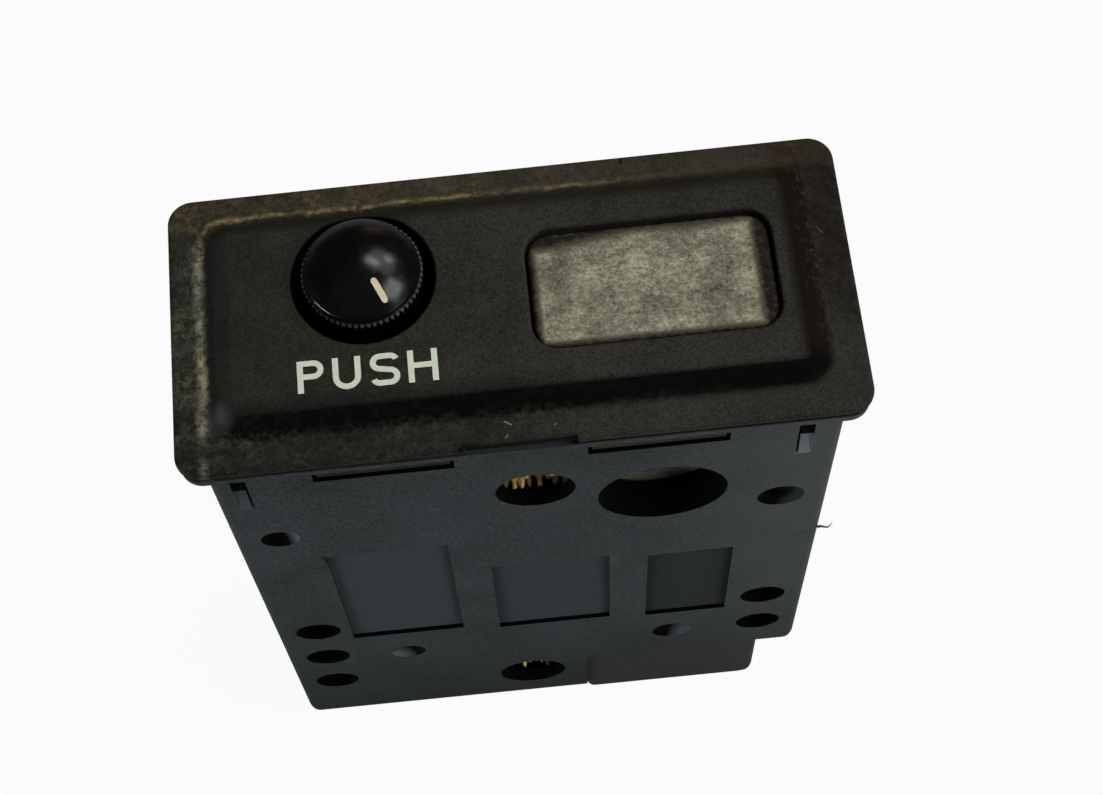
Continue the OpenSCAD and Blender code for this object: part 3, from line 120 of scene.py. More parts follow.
def mark(tree, place, start, end, width):
    """1 on a line from start to end, in mm, that fades out to half the width on either side."""
    run = Vector(end) - Vector(start)
    off = add(tree, "VectorMath", place, start, operation="SUBTRACT")
    along = add(tree, "VectorMath", off, run, operation="DOT_PRODUCT")
    share = cover(tree, (along, 0.0, run.length_squared))
    foot = add(tree, "VectorMath", {0: run, "Scale": share}, operation="SCALE")
    return cover(tree, (add(tree, "VectorMath", off, foot, operation="DISTANCE"), width / 2, width / 5))


def start_material(name):
    """A new material with an empty tree."""
    material = bpy.data.materials.new(name)
    material.use_nodes = True
    material.node_tree.nodes.clear()
    return material, material.node_tree


def millimetres(tree):
    """The place on the object, in mm."""
    metres = add(tree, "TexCoord").outputs["Object"]
    return add(tree, "VectorMath", {0: metres, "Scale": 1 / MM}, operation="SCALE")


def select_only(piece):
    """Makes this the one selected and active object."""
    bpy.ops.object.select_all(action="DESELECT")
    piece.select_set(True)
    bpy.context.view_layer.objects.active = piece


def join(parts):
    """Joins the parts into the first one."""
    select_only(parts[0])
    for part in parts:
        part.select_set(True)
    bpy.ops.object.join()
    return bpy.context.object


def finish_piece(piece, name, material, body, smooth=30):
    """Names a finished piece, settles it at the origin, and gives it its finish and the body that carries it."""
    select_only(piece)
    bpy.ops.object.transform_apply(location=True, rotation=True, scale=True)
    piece.name = piece.data.name = name
    bpy.ops.object.shade_smooth_by_angle(angle=math.radians(smooth))
    piece.data.materials.clear()
    piece.data.materials.append(material)
    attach(piece, body)
    return piece


# materials

def grained_abs():
    """Injection-moulded black ABS with a spark-eroded grain: dull, with painted shade on its slopes and dusty on its
    flange.
    """
    material, tree = start_material("grained_abs_black")
    place = millimetres(tree)
    x, y, z = add(tree, "SeparateXYZ", place).outputs
    # Grain of 0.16 mm, clouds of 4.7, patches of 2.7, drifts of 3.4 and specks of 0.45
    grain, cloud, patch, drift, speck = (
        add(tree, "TexNoise", {"Vector": place, "Scale": MOTTLE / size, "Detail": detail, "Roughness": rough})
        for size, detail, rough in ((0.16, 3.0, 0.7), (4.7, 4.0, 0.6), (2.7, 6.0, 0.7), (3.4, 5.0, 0.7),
                                    (0.45, 4.0, 0.75)))
    worn = add(tree, "Math", cloud, 0.35, grain, operation="MULTIPLY_ADD")
    # Painted shade along the panel's lower edge, left of the middle
    painted_edge_shade = cover(tree, (y, -7.6, -8.8, 0.0, 0.5), (x, 8.0, 0.0))

    # A brown film dulls the right slope, and in patches the flange beyond it
    film = either(tree, cover(tree, (x, 25.7, 26.5), (x, 29.2, 28.4), (y, -10.6, -9.2)),
                  cover(tree, (patch, 0.4, 0.6), (y, -7.0, -2.0), (x, 26.0, 28.0)))

    # Slopes, between the flange and the panel: black below and brown at the right, as painted shade, and brown at
    # the top. On the left a painted pale sheen, with a painted highlight at its corner
    height = cover(tree, (z, FLANGE_Z, 2.75), (z, 3.78, 3.897, 0.97, 0.0))
    left = cover(tree, (x, -25.4, -27.6), (y, -9.6, -8.2), (z, FLANGE_Z, 2.9), 0.6)
    painted_slope_shade = cover(tree, height, either(tree, cover(tree, (y, -8.2, -9.2)), cover(tree, (x, 25.6, 26.6))))
    brown = layered(tree, "#040405", ((y, -9.5, -7.0), "#0f0b07"))
    corner = add(tree, "VectorMath", place, (-27.9, -9.3, 3.3), operation="DISTANCE")

    # Dust lies on the flange, thick on the left, and in a line along the rounded foot of the panel, 2.72 mm out from
    # a rectangle inside it. The line wanders by up to 0.3 mm, and is narrower at the top
    loose = cover(tree, (patch, 0.34, 0.62), (speck, 0.42, 0.62), 0.65)
    past_side = add(tree, "Math", add(tree, "Math", x, operation="ABSOLUTE"), 26.4, operation="SUBTRACT")
    past_top = add(tree, "Math", y, 9.2, operation="SUBTRACT")
    outward = add(tree, "CombineXYZ", either(tree, past_side, 0.0), either(tree, past_top, 0.0))
    reach = add(tree, "VectorMath", outward, operation="LENGTH")
    wander = cover(tree, (patch, 0.3, 0.7, -0.3, 0.3))
    shifted = add(tree, "Math", add(tree, "Math", reach, 2.72, operation="SUBTRACT"), wander, operation="ADD")
    upper = cover(tree, (y, 8.5, 10.5))
    width = cover(tree, (upper, 0.0, 1.0, 0.7, 0.4))
    away = add(tree, "Math", add(tree, "Math", shifted, operation="ABSOLUTE"), width, operation="DIVIDE")
    band = either(tree, add(tree, "Math", 1.0, away, operation="SUBTRACT"), 0.0)
    line = cover(tree, band, (speck, 0.33, 0.6, 0.1, 1.9), (drift, 0.38, 0.6, 0.25, 1.9),
                 (upper, 0.0, 1.0, 1.0, 0.75), (x, 12.0, 21.0, 1.0, 0.0))
    dust = cover(tree, (z, 2.52, 3.1, 1.0, 0.1), (x, -30.0, 24.0, 0.38, 0.06), (y, -12.0, -11.0, 0.55, 1.0),
                 add(tree, "Math", loose, line, operation="ADD"))
    earthy = either(tree, upper, cover(tree, (cloud, 0.45, 0.6, 0.0, 0.35)))
    dust_colour = layered(tree, "#7c7d69", (earthy, "#807250"))

    # Rusty specks lie along the foot of the right slope
    beyond = add(tree, "Math", add(tree, "Math", x, 28.2, operation="SUBTRACT"), wander, operation="ADD")
    rust = cover(tree, (add(tree, "Math", beyond, operation="ABSOLUTE"), 1.1, 0.2), (speck, 0.54, 0.7),
                 (y, -9.0, 0.0), 0.5)

    # Painted shade: the wall of the knob's hole is painted dark, 6.8 mm and less from the axis, and so is the step
    # below the lip of the flange, between 1.2 and 1.8 mm in front of the seat
    flat = add(tree, "VectorMath", place, (1.0, 1.0, 0.0), operation="MULTIPLY")
    radius = add(tree, "VectorMath", flat, (*KNOB_AXIS, 0.0), operation="DISTANCE")
    hole = cover(tree, (radius, 7.0, 6.78), (z, 3.899, 3.85))
    painted_seam_shade = cover(tree, within(tree, z, 1.16, 1.76, 0.18), (y, -13.0, -14.0), (x, -6.0, 6.0, 0.6, 0.95))

    # Small marks on the flange: two tears by the notch, a scratch and two nicks below the panel, a rub on the right
    # and a chip in the upper edge
    marks = [(mark(tree, place, (*tail, FLANGE_Z), (*tip, FLANGE_Z), size), colour)
             for tail, tip, size, colour in (((-6.5, -14.9), (-5.9, -14.5), 0.9, "#020202"),
                                             ((-5.6, -14.1), (-5.2, -14.0), 0.5, "#030303"),
                                             ((-1.7, -12.0), (-1.1, -12.4), 0.14, "#707167"),
                                             ((-1.7, -13.6), (-1.5, -13.4), 0.2, "#54554c"),
                                             ((2.8, -12.8), (3.0, -12.75), 0.14, "#5f6057"),
                                             ((29.3, 4.6), (29.7, 4.0), 0.16, "#3f3b2e"),
                                             ((12.1, 14.7), (11.8, 13.8), 0.4, "#050505"))]
    colour = layered(
        tree, "#11110e",
        ((worn, 0.5, 0.88), "#302f29"),
        # Painted shade: the left end of the panel is a little darker, and its lower edge fades to black
        ((x, -4.0, -26.0, 0.0, 0.35), "#131510"),
        (painted_edge_shade, "#07090a"),
        (cover(tree, film, 0.85), "#15100c"),
        ((x, 28.0, 31.0, 0.0, 0.3), "#15100c"),
        # Painted sheen on the left slope
        (left, "#1d2021"),
        (cover(tree, height, (y, 9.3, 10.2), 0.6), "#13100c"),
        (painted_slope_shade, brown),
        # Painted highlight on the rounded corner at the lower left
        (cover(tree, (corner, 2.0, 0.0, 0.0, 0.4), (cloud, 0.3, 0.6)), "#63686d"),
        # The film warms the flange at the top
        (cover(tree, (y, 11.2, 12.0), (patch, 0.35, 0.65), 0.6), "#342c1f"),
        (dust, dust_colour),
        (rust, "#56402a"),
        (hole, "#040404"),
        (painted_seam_shade, "#020202"),
        *marks)
    # The painted shade and the dust lie matt
    matt = either(tree, painted_slope_shade, film, dust, hole, painted_seam_shade)
    add(tree, "OutputMaterial", add(tree, "BsdfPrincipled", {
        "Base Color": colour, "Roughness": cover(tree, (matt, 0.0, 0.9, 0.5, 1.0)), "IOR": 1.5,
        "Specular IOR Level": 0.04,
        "Normal": add(tree, "Bump", {"Height": grain, "Strength": 0.3, "Distance": 0.05 * MM})}))
    return material


def dusty_insert():
    """Moulded olive-grey cover plate of acrylic gone dull: a mottled film of dust, fine cracks and a brown border."""
    material, tree = start_material("dulled_insert_plastic")
    place = millimetres(tree)
    x, y = add(tree, "SeparateXYZ", place).outputs[:2]
    slant = add(tree, "Mapping", {"Vector": place, "Rotation": (0, 0, math.radians(35)), "Scale": (1.0, 1.7, 1.0)})
    # The film's mottles are 0.6 mm, its flecks 0.22 mm and its clouds 2.8 mm
    film, fleck, cloud = (
        add(tree, "TexNoise", {"Vector": vector, "Scale": MOTTLE / size, "Detail": detail, "Roughness": rough})
        for vector, size, detail, rough in ((slant, 0.6, 9.0, 0.78), (place, 0.22, 4.0, 0.75),
                                            (place, 2.8, 3.0, 0.5)))
    mottles = add(tree, "Math", film, fleck, operation="ADD")
    level = cover(tree, (add(tree, "Math", mottles, cover(tree, (cloud, 0.0, 1.0, 0.1, 0.9)), operation="ADD"),
                         1.2, 1.8))
    middle = add(tree, "VectorMath", place, (12.5, -1.0, 3.4), operation="DISTANCE")
    # Cracks between cells of some 0.8 mm, where the film is thin and at the lower left
    cell = add(tree, "TexVoronoi", {"Vector": slant, "Scale": 1 / 0.8}, feature="DISTANCE_TO_EDGE")
    thin = either(tree, cover(tree, (x, 10.0, 4.0), (y, 1.0, -3.0), (fleck, 0.4, 0.55)),
                  cover(tree, (film, 0.5, 0.42)))
    # The border is smooth and brown: 2 mm at the right, wider at the upper left, less on the other sides
    lifted = add(tree, "Math", y, cover(tree, (x, 11.0, 3.0, 0.0, 1.2)), operation="ADD")
    border = either(tree, *(cover(tree, edge) for edge in ((x, 22.6, 23.6), (x, 3.0, 2.1), (y, -4.7, -5.6),
                                                           (lifted, 5.1, 6.4))))
    ragged = cover(tree, border, (film, 0.35, 0.65, 0.55, 1.5))
    colour = layered(
        tree, "#3e3d35",
        ((level, 0.0, 0.5), "#6a6959"),
        ((level, 0.5, 1.0), "#99987f"),
        # Pale green swirls towards the middle
        (cover(tree, (middle, 6.0, 1.0, 0.0, 0.6), (film, 0.52, 0.62)), "#8e977e"),
        (cover(tree, (cell, 0.015, 0.06, 0.75, 0.0), thin), "#312e25"),
        ((ragged, 0.05, 0.5, 0.0, 0.9), "#39342b"),
        ((ragged, 0.5, 1.0, 0.0, 0.92), "#0f0b09"))
    add(tree, "OutputMaterial", add(tree, "BsdfPrincipled", {
        "Base Color": colour, "Roughness": 0.7, "Specular IOR Level": 0.04,
        "Normal": add(tree, "Bump", {"Height": film, "Strength": 0.25, "Distance": 0.04 * MM})}))
    return material


def polished_abs():
    """Black ABS moulded in a polished tool: deep black with a clear gloss, and a painted grey highlight on the
    teeth's tips.
    """
    material, tree = start_material("polished_abs_black")
    place = millimetres(tree)
    z = add(tree, "SeparateXYZ", place).outputs["Z"]
    # Smears of handling, a little under 1 mm wide, dull the gloss
    wear = add(tree, "TexNoise", {"Vector": place, "Scale": 0.9, "Detail": 6.0, "Roughness": 0.7})
    # The tips of the teeth, 5.5 mm and more from the knob's axis, carry a painted grey highlight
    flat = add(tree, "VectorMath", place, (1.0, 1.0, 0.0), operation="MULTIPLY")
    radius = add(tree, "VectorMath", flat, (*KNOB_AXIS, 0.0), operation="DISTANCE")
    teeth_highlight = cover(tree, (radius, 5.46, 5.64), (z, 4.6, 5.3))
    add(tree, "OutputMaterial", add(tree, "BsdfPrincipled", {
        "Base Color": layered(tree, "#040404", (wear, "#090807"), (teeth_highlight, "#4c483f")),
        "Roughness": cover(tree, (wear, 0.35, 0.75, 0.15, 0.33)), "IOR": 1.5, "Specular IOR Level": 0.16}))
    return material


def slate_pbt():
    """Glass-filled PBT, moulded slate grey: satin, slightly cloudy, painted near black as shade inside its openings.
    """
    material, tree = start_material("glass_filled_pbt_slate")
    place = millimetres(tree)
    x, y, z = add(tree, "SeparateXYZ", place).outputs

    def zone(across, along, down, soft=0.01):
        """1 inside the box given by the limits in X, Z and Y, in mm."""
        return cover(tree, within(tree, x, *across), within(tree, z, *along), within(tree, y, *down, soft))

    # Clouds of some 9 mm, and glass fibres, which are far finer and are drawn 0.36 mm coarse to show
    cloud = add(tree, "TexNoise", {"Vector": place, "Scale": 0.09, "Detail": 3.0, "Roughness": 0.5})
    fibre = add(tree, "TexNoise", {"Vector": place, "Scale": 2.2, "Detail": 4.0, "Roughness": 0.75})
    mixed = add(tree, "Math", cloud, 0.3, fibre, operation="MULTIPLY_ADD")
    # Everything inside the floor's and the roof's openings, in front of the rear walls, is painted near black as
    # shade
    inner = (-12.73, 12.73)
    inside = either(tree, zone((-29.0, 4.4), (-77.6, -0.7), inner, 0.03),
                    zone((4.4, 29.0), (-66.4, -0.7), inner, 0.03))
    layers = [
        ((mixed, 0.45, 0.85), "#3a4042"),
        # The floor is painted lighter towards its right edge, as light, and darker at the rear, as shade
        (cover(tree, (x, 11.0, 27.0), (z, -60.0, -30.0, 0.0, 0.3)), "#4b4c4a"),
        ((z, -52.0, -76.0, 0.0, 0.5), "#16191b"),
        (inside, "#020202")]
    # Floors of the marking pads, the right one ground smooth and dark. The wall at a pad's rear is painted black as
    # shade
    for across, (back, front), colour in (((-21.5, -8.9), (-51.8, -25.2), "#33393b"),
                                          ((-4.8, 7.8), (-53.0, -33.0), "#313638"),
                                          ((11.9, 21.0), (-53.9, -34.2), "#262929")):
        layers += [(zone(across, (back, front), (-12.4, -12.2)), colour),
                   (zone(across, (back - 0.02, back + 0.02), (-12.78, -12.2)), "#030303")]
    layers += [
        # The shroud behind the step
        (zone((5.2, 27.0), (-82.0, -67.3), (-12.5, -12.0)), "#2c2b2f"),
        # Ramps of the guide grooves, painted lighter as light that falls on them
        (zone((-27.96, -26.44), (-10.3, -6.3), (-12.79, -12.3)), "#3b3e40"),
        (zone((25.64, 27.16), (-10.3, -6.3), (-12.79, -12.3)), "#5a5d60"),
        # Rim seen through the notch of the bezel, with painted light on it where the bezel shades it
        (zone((-5.4, 4.8), (0.7, 0.9), (-14.4, -13.4)), "#2c3031")]
    matt = inside
    # Dimples, with painted shade and painted light, as centre, radius, way of the lit side in the floor's plane, dark
    # shade and light shade
    for across, along, r, way, dark, light in ((-25.3, -18.9, 1.9, (0.9, 0.0, 0.3), "#010102", "#4a4e51"),
                                               (25.1, -20.7, 2.35, (0.95, 0.0, -0.3), "#010101", "#232526"),
                                               (-15.8, -58.5, 1.9, (-0.6, 0.0, -0.5), "#060707", "#474a49"),
                                               (15.0, -60.2, 2.15, (0.9, 0.0, -0.3), "#010101", "#3c4042")):
        off = add(tree, "VectorMath", place, (across, UNDERSIDE_Y, along), operation="SUBTRACT")
        lean = add(tree, "VectorMath", off, way, operation="DOT_PRODUCT")
        lit = cover(tree, (lean, 0.1 * r, 0.7 * r))
        pit = cover(tree, (add(tree, "VectorMath", off, operation="LENGTH"), r + 0.1, r))
        layers.append((pit, layered(tree, dark, (lit, light))))
        matt = either(tree, matt, cover(tree, pit, (lit, 0.0, 1.0, 1.0, 0.0)))
    # A crack that runs in from the right edge, and a scratch that ends at the corner of the left pad
    for tail, tip, width in (((27.4, -32.4), (30.0, -31.6), 0.25), ((29.5, -30.9), (30.0, -30.2), 0.5),
                             ((-25.2, -28.3), (-21.5, -28.1), 0.2), ((-21.8, -25.0), (-21.3, -28.6), 0.35)):
        start, end = ((point[0], UNDERSIDE_Y, point[1]) for point in (tail, tip))
        layers.append((cover(tree, mark(tree, place, start, end, width), 0.85), "#0b0c0b"))
    add(tree, "OutputMaterial", add(tree, "BsdfPrincipled", {
        "Base Color": layered(tree, "#1c2122", *layers),
        "Roughness": either(tree, cover(tree, (fibre, 0.0, 1.0, 0.42, 0.6)), matt), "Specular IOR Level": 0.05,
        "Normal": add(tree, "Bump", {"Height": fibre, "Strength": 0.15, "Distance": 0.03 * MM})}))
    return material


def mottled(name, light, dark, rough, size_mm, metallic=0.0, bump_mm=0.0):
    """A moulded, cast, rolled or coated finish: two close shades in mottles of the given size. The mottles of a fine
    finish are drawn coarse enough to show."""
    material, tree = start_material(name)
    mottle = add(tree, "TexNoise", {"Vector": millimetres(tree), "Scale": MOTTLE / size_mm, "Detail": 4.0,
                                    "Roughness": 0.6})
    surface = {"Base Color": layered(tree, dark, ((mottle, 0.3, 0.7), light)),
               "Roughness": cover(tree, (mottle, 0.0, 1.0, rough - 0.06, rough + 0.06)), "Metallic": metallic}
    if bump_mm:
        surface["Normal"] = add(tree, "Bump", {"Height": mottle, "Strength": 0.4, "Distance": bump_mm * MM})
    add(tree, "OutputMaterial", add(tree, "BsdfPrincipled", surface))
    return material


# Every CAD node's finish, by node
FINISHES = {
    "front_bezel": grained_abs(),
    "window_insert": dusty_insert(),
    "knob": polished_abs(),
    "knob_pointer": mottled("cream_inlay_paint", "#bdb190", "#a3977a", 0.5, 0.3),  # dull cream, faintly stained
    "housing": slate_pbt(),
    "terminal_base": mottled("pbt_block_slate", "#33383a", "#2b2f31", 0.5, 0.4, bump_mm=0.02),  # satin slate
    "circuit_board": mottled("paper_phenolic_board", "#6c6d62", "#595b50", 0.55, 0.6, bump_mm=0.01),  # dull, fibrous
    "solder_joints": mottled("tin_lead_solder", "#ffe7a6", "#c99f50", 0.3, 0.4, 0.15, 0.04),  # soft golden shine
    "dimmer_bracket": mottled("zinc_plated_steel", "#b3b5ae", "#8f918c", 0.36, 1.2, 1.0),  # pale, with a soft shine
    "bushing": mottled("zinc_die_casting", "#c0beb6", "#a19f98", 0.42, 0.5, 1.0, 0.02),  # grey, a little grainy
    "resistor_wafer": mottled("brown_phenolic", "#75502f", "#5b3c22", 0.5, 0.8),  # dull brown, flecked with paper
    "dimmer_case": mottled("black_phenolic_moulding", "#2b2a28", "#1d1c1b", 0.45, 0.6),  # brown-black, half dull
    "latch_case": mottled("black_nylon_moulding", "#302e2c", "#232120", 0.5, 0.6),  # dark grey and waxy
    "dimmer_terminals": mottled("tinned_brass_strip", "#d2cfc3", "#b3ae9f", 0.3, 0.5, 1.0),  # bright, a little yellow
    "rotor": mottled("natural_acetal_rotor", "#d8d4c6", "#c9c4b4", 0.4, 0.8),  # milky white and waxy
    "wiper": mottled("spring_brass", "#cfa550", "#b08a3c", 0.28, 0.5, 1.0),  # bright yellow
    "knob_shaft": mottled("turned_mild_steel", "#bdbab1", "#9c998f", 0.3, 0.4, 1.0),  # bright grey
    "latch_slider": mottled("natural_acetal_slider", "#e2ded0", "#d1cbb9", 0.42, 0.8),  # milky white, a little paler
    "latch_pin": mottled("drawn_spring_wire", "#96989a", "#76787a", 0.3, 0.3, 1.0),  # dark, smooth grey
    "return_spring": mottled("drawn_music_wire", "#a1a4a6", "#808385", 0.28, 0.3, 1.0),  # mid grey and smooth
    "control_module": mottled("dipped_epoxy_brown", "#43342d", "#31251f", 0.35, 0.9, bump_mm=0.06),  # brown and lumpy
    "filter_capacitor": mottled("shrink_sleeve_blue", "#2c3b56", "#212c42", 0.3, 1.5),  # glossy dark blue
    "heat_sink": mottled("extruded_aluminium", "#b9bbba", "#9a9c9b", 0.38, 0.7, 1.0),  # light grey, satin
    "power_transistor": mottled("moulded_epoxy_black", "#232325", "#18181a", 0.55, 0.3, bump_mm=0.02),  # dull black
    "transistor_screw": mottled("zinc_plated_screw", "#c9c7bd", "#a5a298", 0.3, 0.4, 1.0),  # bright, a little warm
    "film_capacitor": mottled("dipped_coating_red", "#a83f28", "#8a3120", 0.3, 1.0, bump_mm=0.03),  # glossy and red
    "resistors": mottled("tan_lacquer", "#cbb88e", "#b09c72", 0.45, 0.5),  # tan, half dull
    "diodes": mottled("diode_epoxy", "#2d2d2f", "#1f1f21", 0.5, 0.3),  # near black, half dull
    "driver_transistors": mottled("small_epoxy_body", "#262628", "#1a1a1c", 0.55, 0.3, bump_mm=0.01),  # dull black
    "noise_choke": mottled("enamelled_copper_winding", "#8a5028", "#6a3a1c", 0.3, 0.25, bump_mm=0.05),  # red-brown
    "connector_terminals": mottled("tin_plated_pins", "#cfc29c", "#b0a27a", 0.28, 0.4, 1.0),  # bright, yellowed tin
}

for name, finish in FINISHES.items():
    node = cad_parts[name]
    node.data.materials.clear()
    node.data.materials.append(finish)


# printed legend

INK = mottled("legend_ink_pale_green", "#b6beac", "#a8b09e", 0.55, 0.4)  # matt pale green
STROKE = 0.55  # width of the letters' strokes, in mm


def pick_edge(piece, point):
    """Selects the one edge whose middle lies nearest to the point, in mm."""
    mesh = bmesh.from_edit_mesh(piece.data)
    target = Vector((point[0] * MM, point[1] * MM, 0))
    nearest = min(mesh.edges, key=lambda e: ((e.verts[0].co + e.verts[1].co) / 2 - target).length)
    for parts in (mesh.faces, mesh.edges, mesh.verts):
        for part in parts:
            part.select = False
    for part in (nearest, *nearest.verts):
        part.select = True
    bmesh.update_edit_mesh(piece.data)


def stroke(start, heading, first, moves):
    """A flat stroke of the legend: a first bar, then moves, each ("run", length) or ("arc", radius, turn)."""
    angle = math.radians(heading)
    way = Vector((math.cos(angle), math.sin(angle)))
    middle = Vector(start) + way * first / 2
    bpy.ops.mesh.primitive_plane_add(size=1, location=(middle.x * MM, middle.y * MM, 0))
    piece = bpy.context.object
    piece.scale = (first * MM, STROKE * MM, 1)
    piece.rotation_euler = (0, 0, angle)
    select_only(piece)
    bpy.ops.object.transform_apply(location=True, rotation=True, scale=True)
    bpy.ops.object.mode_set(mode="EDIT")
    bpy.ops.mesh.select_mode(type="EDGE")
    at = Vector(start) + way * first
    for move in moves:
        pick_edge(piece, at)
        way = Vector((math.cos(angle), math.sin(angle)))
        if move[0] == "run":
            step = way * move[1]
            bpy.ops.mesh.extrude_region_move(TRANSFORM_OT_translate={"value": (step.x * MM, step.y * MM, 0)})
            at = at + step
        else:
            radius, turn = move[1], math.radians(move[2])
            centre = at + Vector((-way.y, way.x)) * (radius if turn > 0 else -radius)
            # One step for every 9 degrees, and six at the least
            bpy.ops.mesh.spin(steps=max(6, int(abs(move[2]) / 9)), angle=-turn,
                              center=(centre.x * MM, centre.y * MM, 0), axis=(0, 0, 1))
            at = centre + Matrix.Rotation(turn, 2) @ (at - centre)
            angle += turn
    bpy.ops.object.mode_set(mode="OBJECT")
    return piece


def push_legend():
    """The word PUSH printed on the panel below the knob."""
    parts = [
        stroke((-19.865, -7.85), 90, 3.25, []),
        stroke((-19.59, -4.875), 0, 0.94, [("arc", 0.675, -180), ("run", 0.94)]),
        stroke((-16.605, -4.6), -90, 1.95, [("arc", 1.025, 180), ("run", 1.95)]),
        stroke((-9.675, -7.85), 90, 3.25, []),
        stroke((-7.475, -7.85), 90, 3.25, []),
        stroke((-9.4, -6.15), 0, 1.65, []),
    ]
    # The S runs both ways from the middle of its spine
    for heading in (170, -10):
        moves = [("arc", 0.63, -170), ("run", 0.95), ("arc", 0.6, -68)]
        parts.append(stroke((-12.065, -6.225), heading, 0.57, moves))
    legend = join(parts)
    bpy.ops.object.mode_set(mode="EDIT")
    bpy.ops.mesh.select_all(action="SELECT")
    bpy.ops.mesh.remove_doubles(threshold=0.005 * MM)
    bpy.ops.mesh.normals_make_consistent(inside=False)
    bpy.ops.object.mode_set(mode="OBJECT")
    # The ink is 0.04 mm thick and clears the panel by 0.01 mm, so that no two faces lie in one plane
    legend.location = (0, 0, (PANEL_Z + 0.03) * MM)
    solid = legend.modifiers.new("ink_thickness", "SOLIDIFY")
    solid.thickness = 0.04 * MM
    solid.offset = 0
    bpy.ops.object.modifier_apply(modifier="ink_thickness")
    return finish_piece(legend, "push_legend", INK, "case")


push_legend()


def edge_burr():
    """The curled burr of torn plastic on the right edge of the housing's floor."""
    bpy.ops.object.select_all(action="DESELECT")
    bpy.ops.mesh.primitive_circle_add(vertices=6, radius=0.17 * MM, fill_type="NGON",
                                      rotation=(0, math.radians(90), 0), location=(29.7 * MM, -12.6 * MM, -31.2 * MM))
    burr = bpy.context.object
    bpy.ops.object.mode_set(mode="EDIT")
    bpy.ops.mesh.select_all(action="SELECT")
    # Each ring lies one step further out, in mm, and is a fifth smaller than the last
    for step in ((0.45, -0.05, 0.15), (0.35, -0.15, 0.05), (0.3, -0.05, 0.1), (0.25, 0.1, 0.3), (0.15, 0.15, 0.35)):
        bpy.ops.mesh.extrude_region_move(TRANSFORM_OT_translate={"value": Vector(step) * MM})
        bpy.ops.transform.resize(value=(0.8, 0.8, 0.8))
    bpy.ops.mesh.select_all(action="SELECT")
    bpy.ops.mesh.normals_make_consistent(inside=False)
    bpy.ops.object.mode_set(mode="OBJECT")
    return finish_piece(burr, "edge_burr", FINISHES["terminal_base"], "case")


edge_burr()


def solder_fillets():
    """Fillets and clipped leads on the underside of the board, where the two access holes show them."""
    bpy.ops.object.select_all(action="DESELECT")
    bpy.ops.mesh.primitive_uv_sphere_add(segments=12, ring_count=8, radius=MM)
    pattern = bpy.context.object
    # Their places in X and Z, in mm
    front = [(-2.9, -17.2), (-2.2, -18.0), (-0.7, -17.4), (0.1, -18.2), (2.0, -17.1), (2.7, -17.9)]
    rear = [(-3.4, -74.6), (-2.6, -75.1), (-1.9, -74.4), (-1.1, -75.0), (-0.4, -74.5), (0.3, -75.2)]
    parts = []
    for number, (x, z) in enumerate(front + rear):
        # Those at the rear hang lower, at the ends of clipped leads
        level = -8.9 if z > -20 else -9.3
        # No two neighbours are alike: 0.32 to 0.48 mm in radius, and 2.7 to 4.05 times as tall
        radius = 0.32 + 0.08 * (number % 3)
        part = pattern.copy()
        part.data = pattern.data.copy()
        bpy.context.collection.objects.link(part)
        part.location = (x * MM, level * MM, z * MM)
        part.scale = (radius, radius * (2.7 + 0.45 * (number % 4)), radius)
        parts.append(part)
    bpy.data.objects.remove(pattern)
    return finish_piece(join(parts), "solder_fillets", FINISHES["solder_joints"], "case")


solder_fillets()


# floor, light and camera

def seen_directly(tree):
    """1 for camera and transmission rays, which see a white background, and 0 for the rest."""
    path = add(tree, "LightPath").outputs
    return either(tree, path["Is Camera Ray"], path["Is Transmission Ray"])


def studio_floor():
    """A sheet of pale seamless paper under the object, which glows to the camera and keeps a trace of the shadow."""
    bpy.ops.object.select_all(action="DESELECT")
    bpy.ops.mesh.primitive_plane_add(size=6, location=(0, 0, cad_low.z - 0.2 * MM))
    floor = bpy.context.object
    floor.name = "studio_floor"
    material, tree = start_material("seamless_paper_grey")
    paper = add(tree, "BsdfPrincipled", {"Base Color": "#8a8a89", "Roughness": 0.9})
    glow = add(tree, "Emission", {"Color": "#ffffff", "Strength": 1.0})
    add(tree, "OutputMaterial", add(tree, "MixShader", cover(tree, seen_directly(tree), 0.95), paper, glow))
    floor.data.materials.append(material)


def studio_world():
    """A dim room that is white to the eye. Glossy rays see the dim room too, because nothing outside is bare metal or
    glass, and the black plastics mirror a dark room in the photograph."""
    world = bpy.data.worlds.new("studio")
    bpy.context.scene.world = world
    world.use_nodes = True
    tree = world.node_tree
    tree.nodes.clear()
    room = add(tree, "Background", {"Color": "#ffffff", "Strength": 0.05})
    white = add(tree, "Background", {"Color": "#ffffff", "Strength": 1.0})
    add(tree, "OutputWorld", add(tree, "MixShader", seen_directly(tree), room, white))


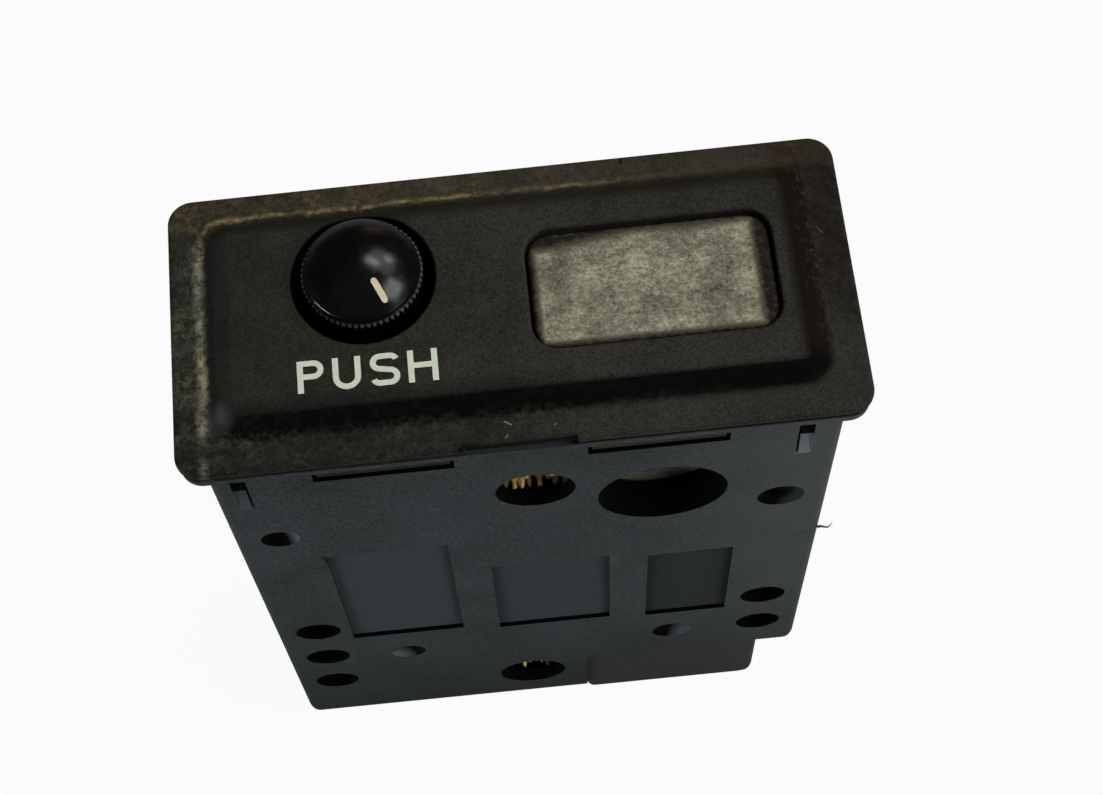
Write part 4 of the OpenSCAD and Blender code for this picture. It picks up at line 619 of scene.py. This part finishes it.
def softbox(name, way, distance, width, height, watts, colour=(1.0, 1.0, 1.0)):
    """A soft light, seen from the object in the direction way, and turned to it."""
    data = bpy.data.lights.new(name, "AREA")
    data.shape = "RECTANGLE"
    data.size = width
    data.size_y = height
    data.energy = watts
    data.color = colour
    lamp = bpy.data.objects.new(name, data)
    bpy.context.collection.objects.link(lamp)
    lamp.location = Vector(way).normalized() * distance
    lamp.rotation_euler = (-lamp.location).to_track_quat("-Z", "Y").to_euler()
    return lamp


def photo_camera():
    """The camera that was matched to the photograph, in front of the bezel and below it."""
    view = bpy.data.cameras.new("photo_camera")
    view.sensor_width = 36
    view.lens = 68.61
    view.clip_start = 0.01
    view.clip_end = 20
    view.shift_x = 0.0699
    view.shift_y = 0.0070
    camera = bpy.data.objects.new("photo_camera", view)
    bpy.context.collection.objects.link(camera)
    # The picture's right, its down and the way ahead, and the camera's place in mm
    right = Vector((0.99467, -0.0845, -0.05907))
    down = Vector((-0.10142, -0.90497, -0.41322))
    ahead = Vector((-0.01854, 0.41701, -0.90871))
    turn = Matrix((right, -down, -ahead)).transposed().to_4x4()
    camera.matrix_world = Matrix.Translation(Vector((-0.703, -90.058, 176.749)) * MM) @ turn
    bpy.context.scene.camera = camera


studio_floor()
studio_world()

# The two panes of the window that the knob reflects, upper right, the bright wall round them, a warm lamp above,
# fills from both sides, the room behind the camera, and a small fill from the lower right
softbox("window_left_pane", (0.24, 0.34, 0.90), 1.2, 0.42, 0.24, 3.6)
softbox("window_right_pane", (0.58, 0.43, 0.68), 1.2, 0.24, 0.22, 2.1)
softbox("window_wall", (0.46, 0.36, 0.82), 1.25, 0.9, 0.5, 4.8)
softbox("warm_lamp", (0.17, 0.97, 0.08), 1.0, 0.3, 0.24, 0.16, (1.0, 0.62, 0.3))
softbox("right_fill", (0.69, -0.30, 0.66), 1.0, 0.46, 0.42, 7.4)
softbox("left_strip", (-0.90, -0.40, -0.14), 0.5, 0.28, 0.02, 2.0)
softbox("room_fill", (0.10, -0.42, 0.90), 1.2, 2.8, 2.4, 2.4)
softbox("floor_fill", (0.78, -0.62, -0.10), 0.2, 0.12, 0.12, 0.14)

photo_camera()
bpy.context.scene.view_settings.view_transform = "Standard"
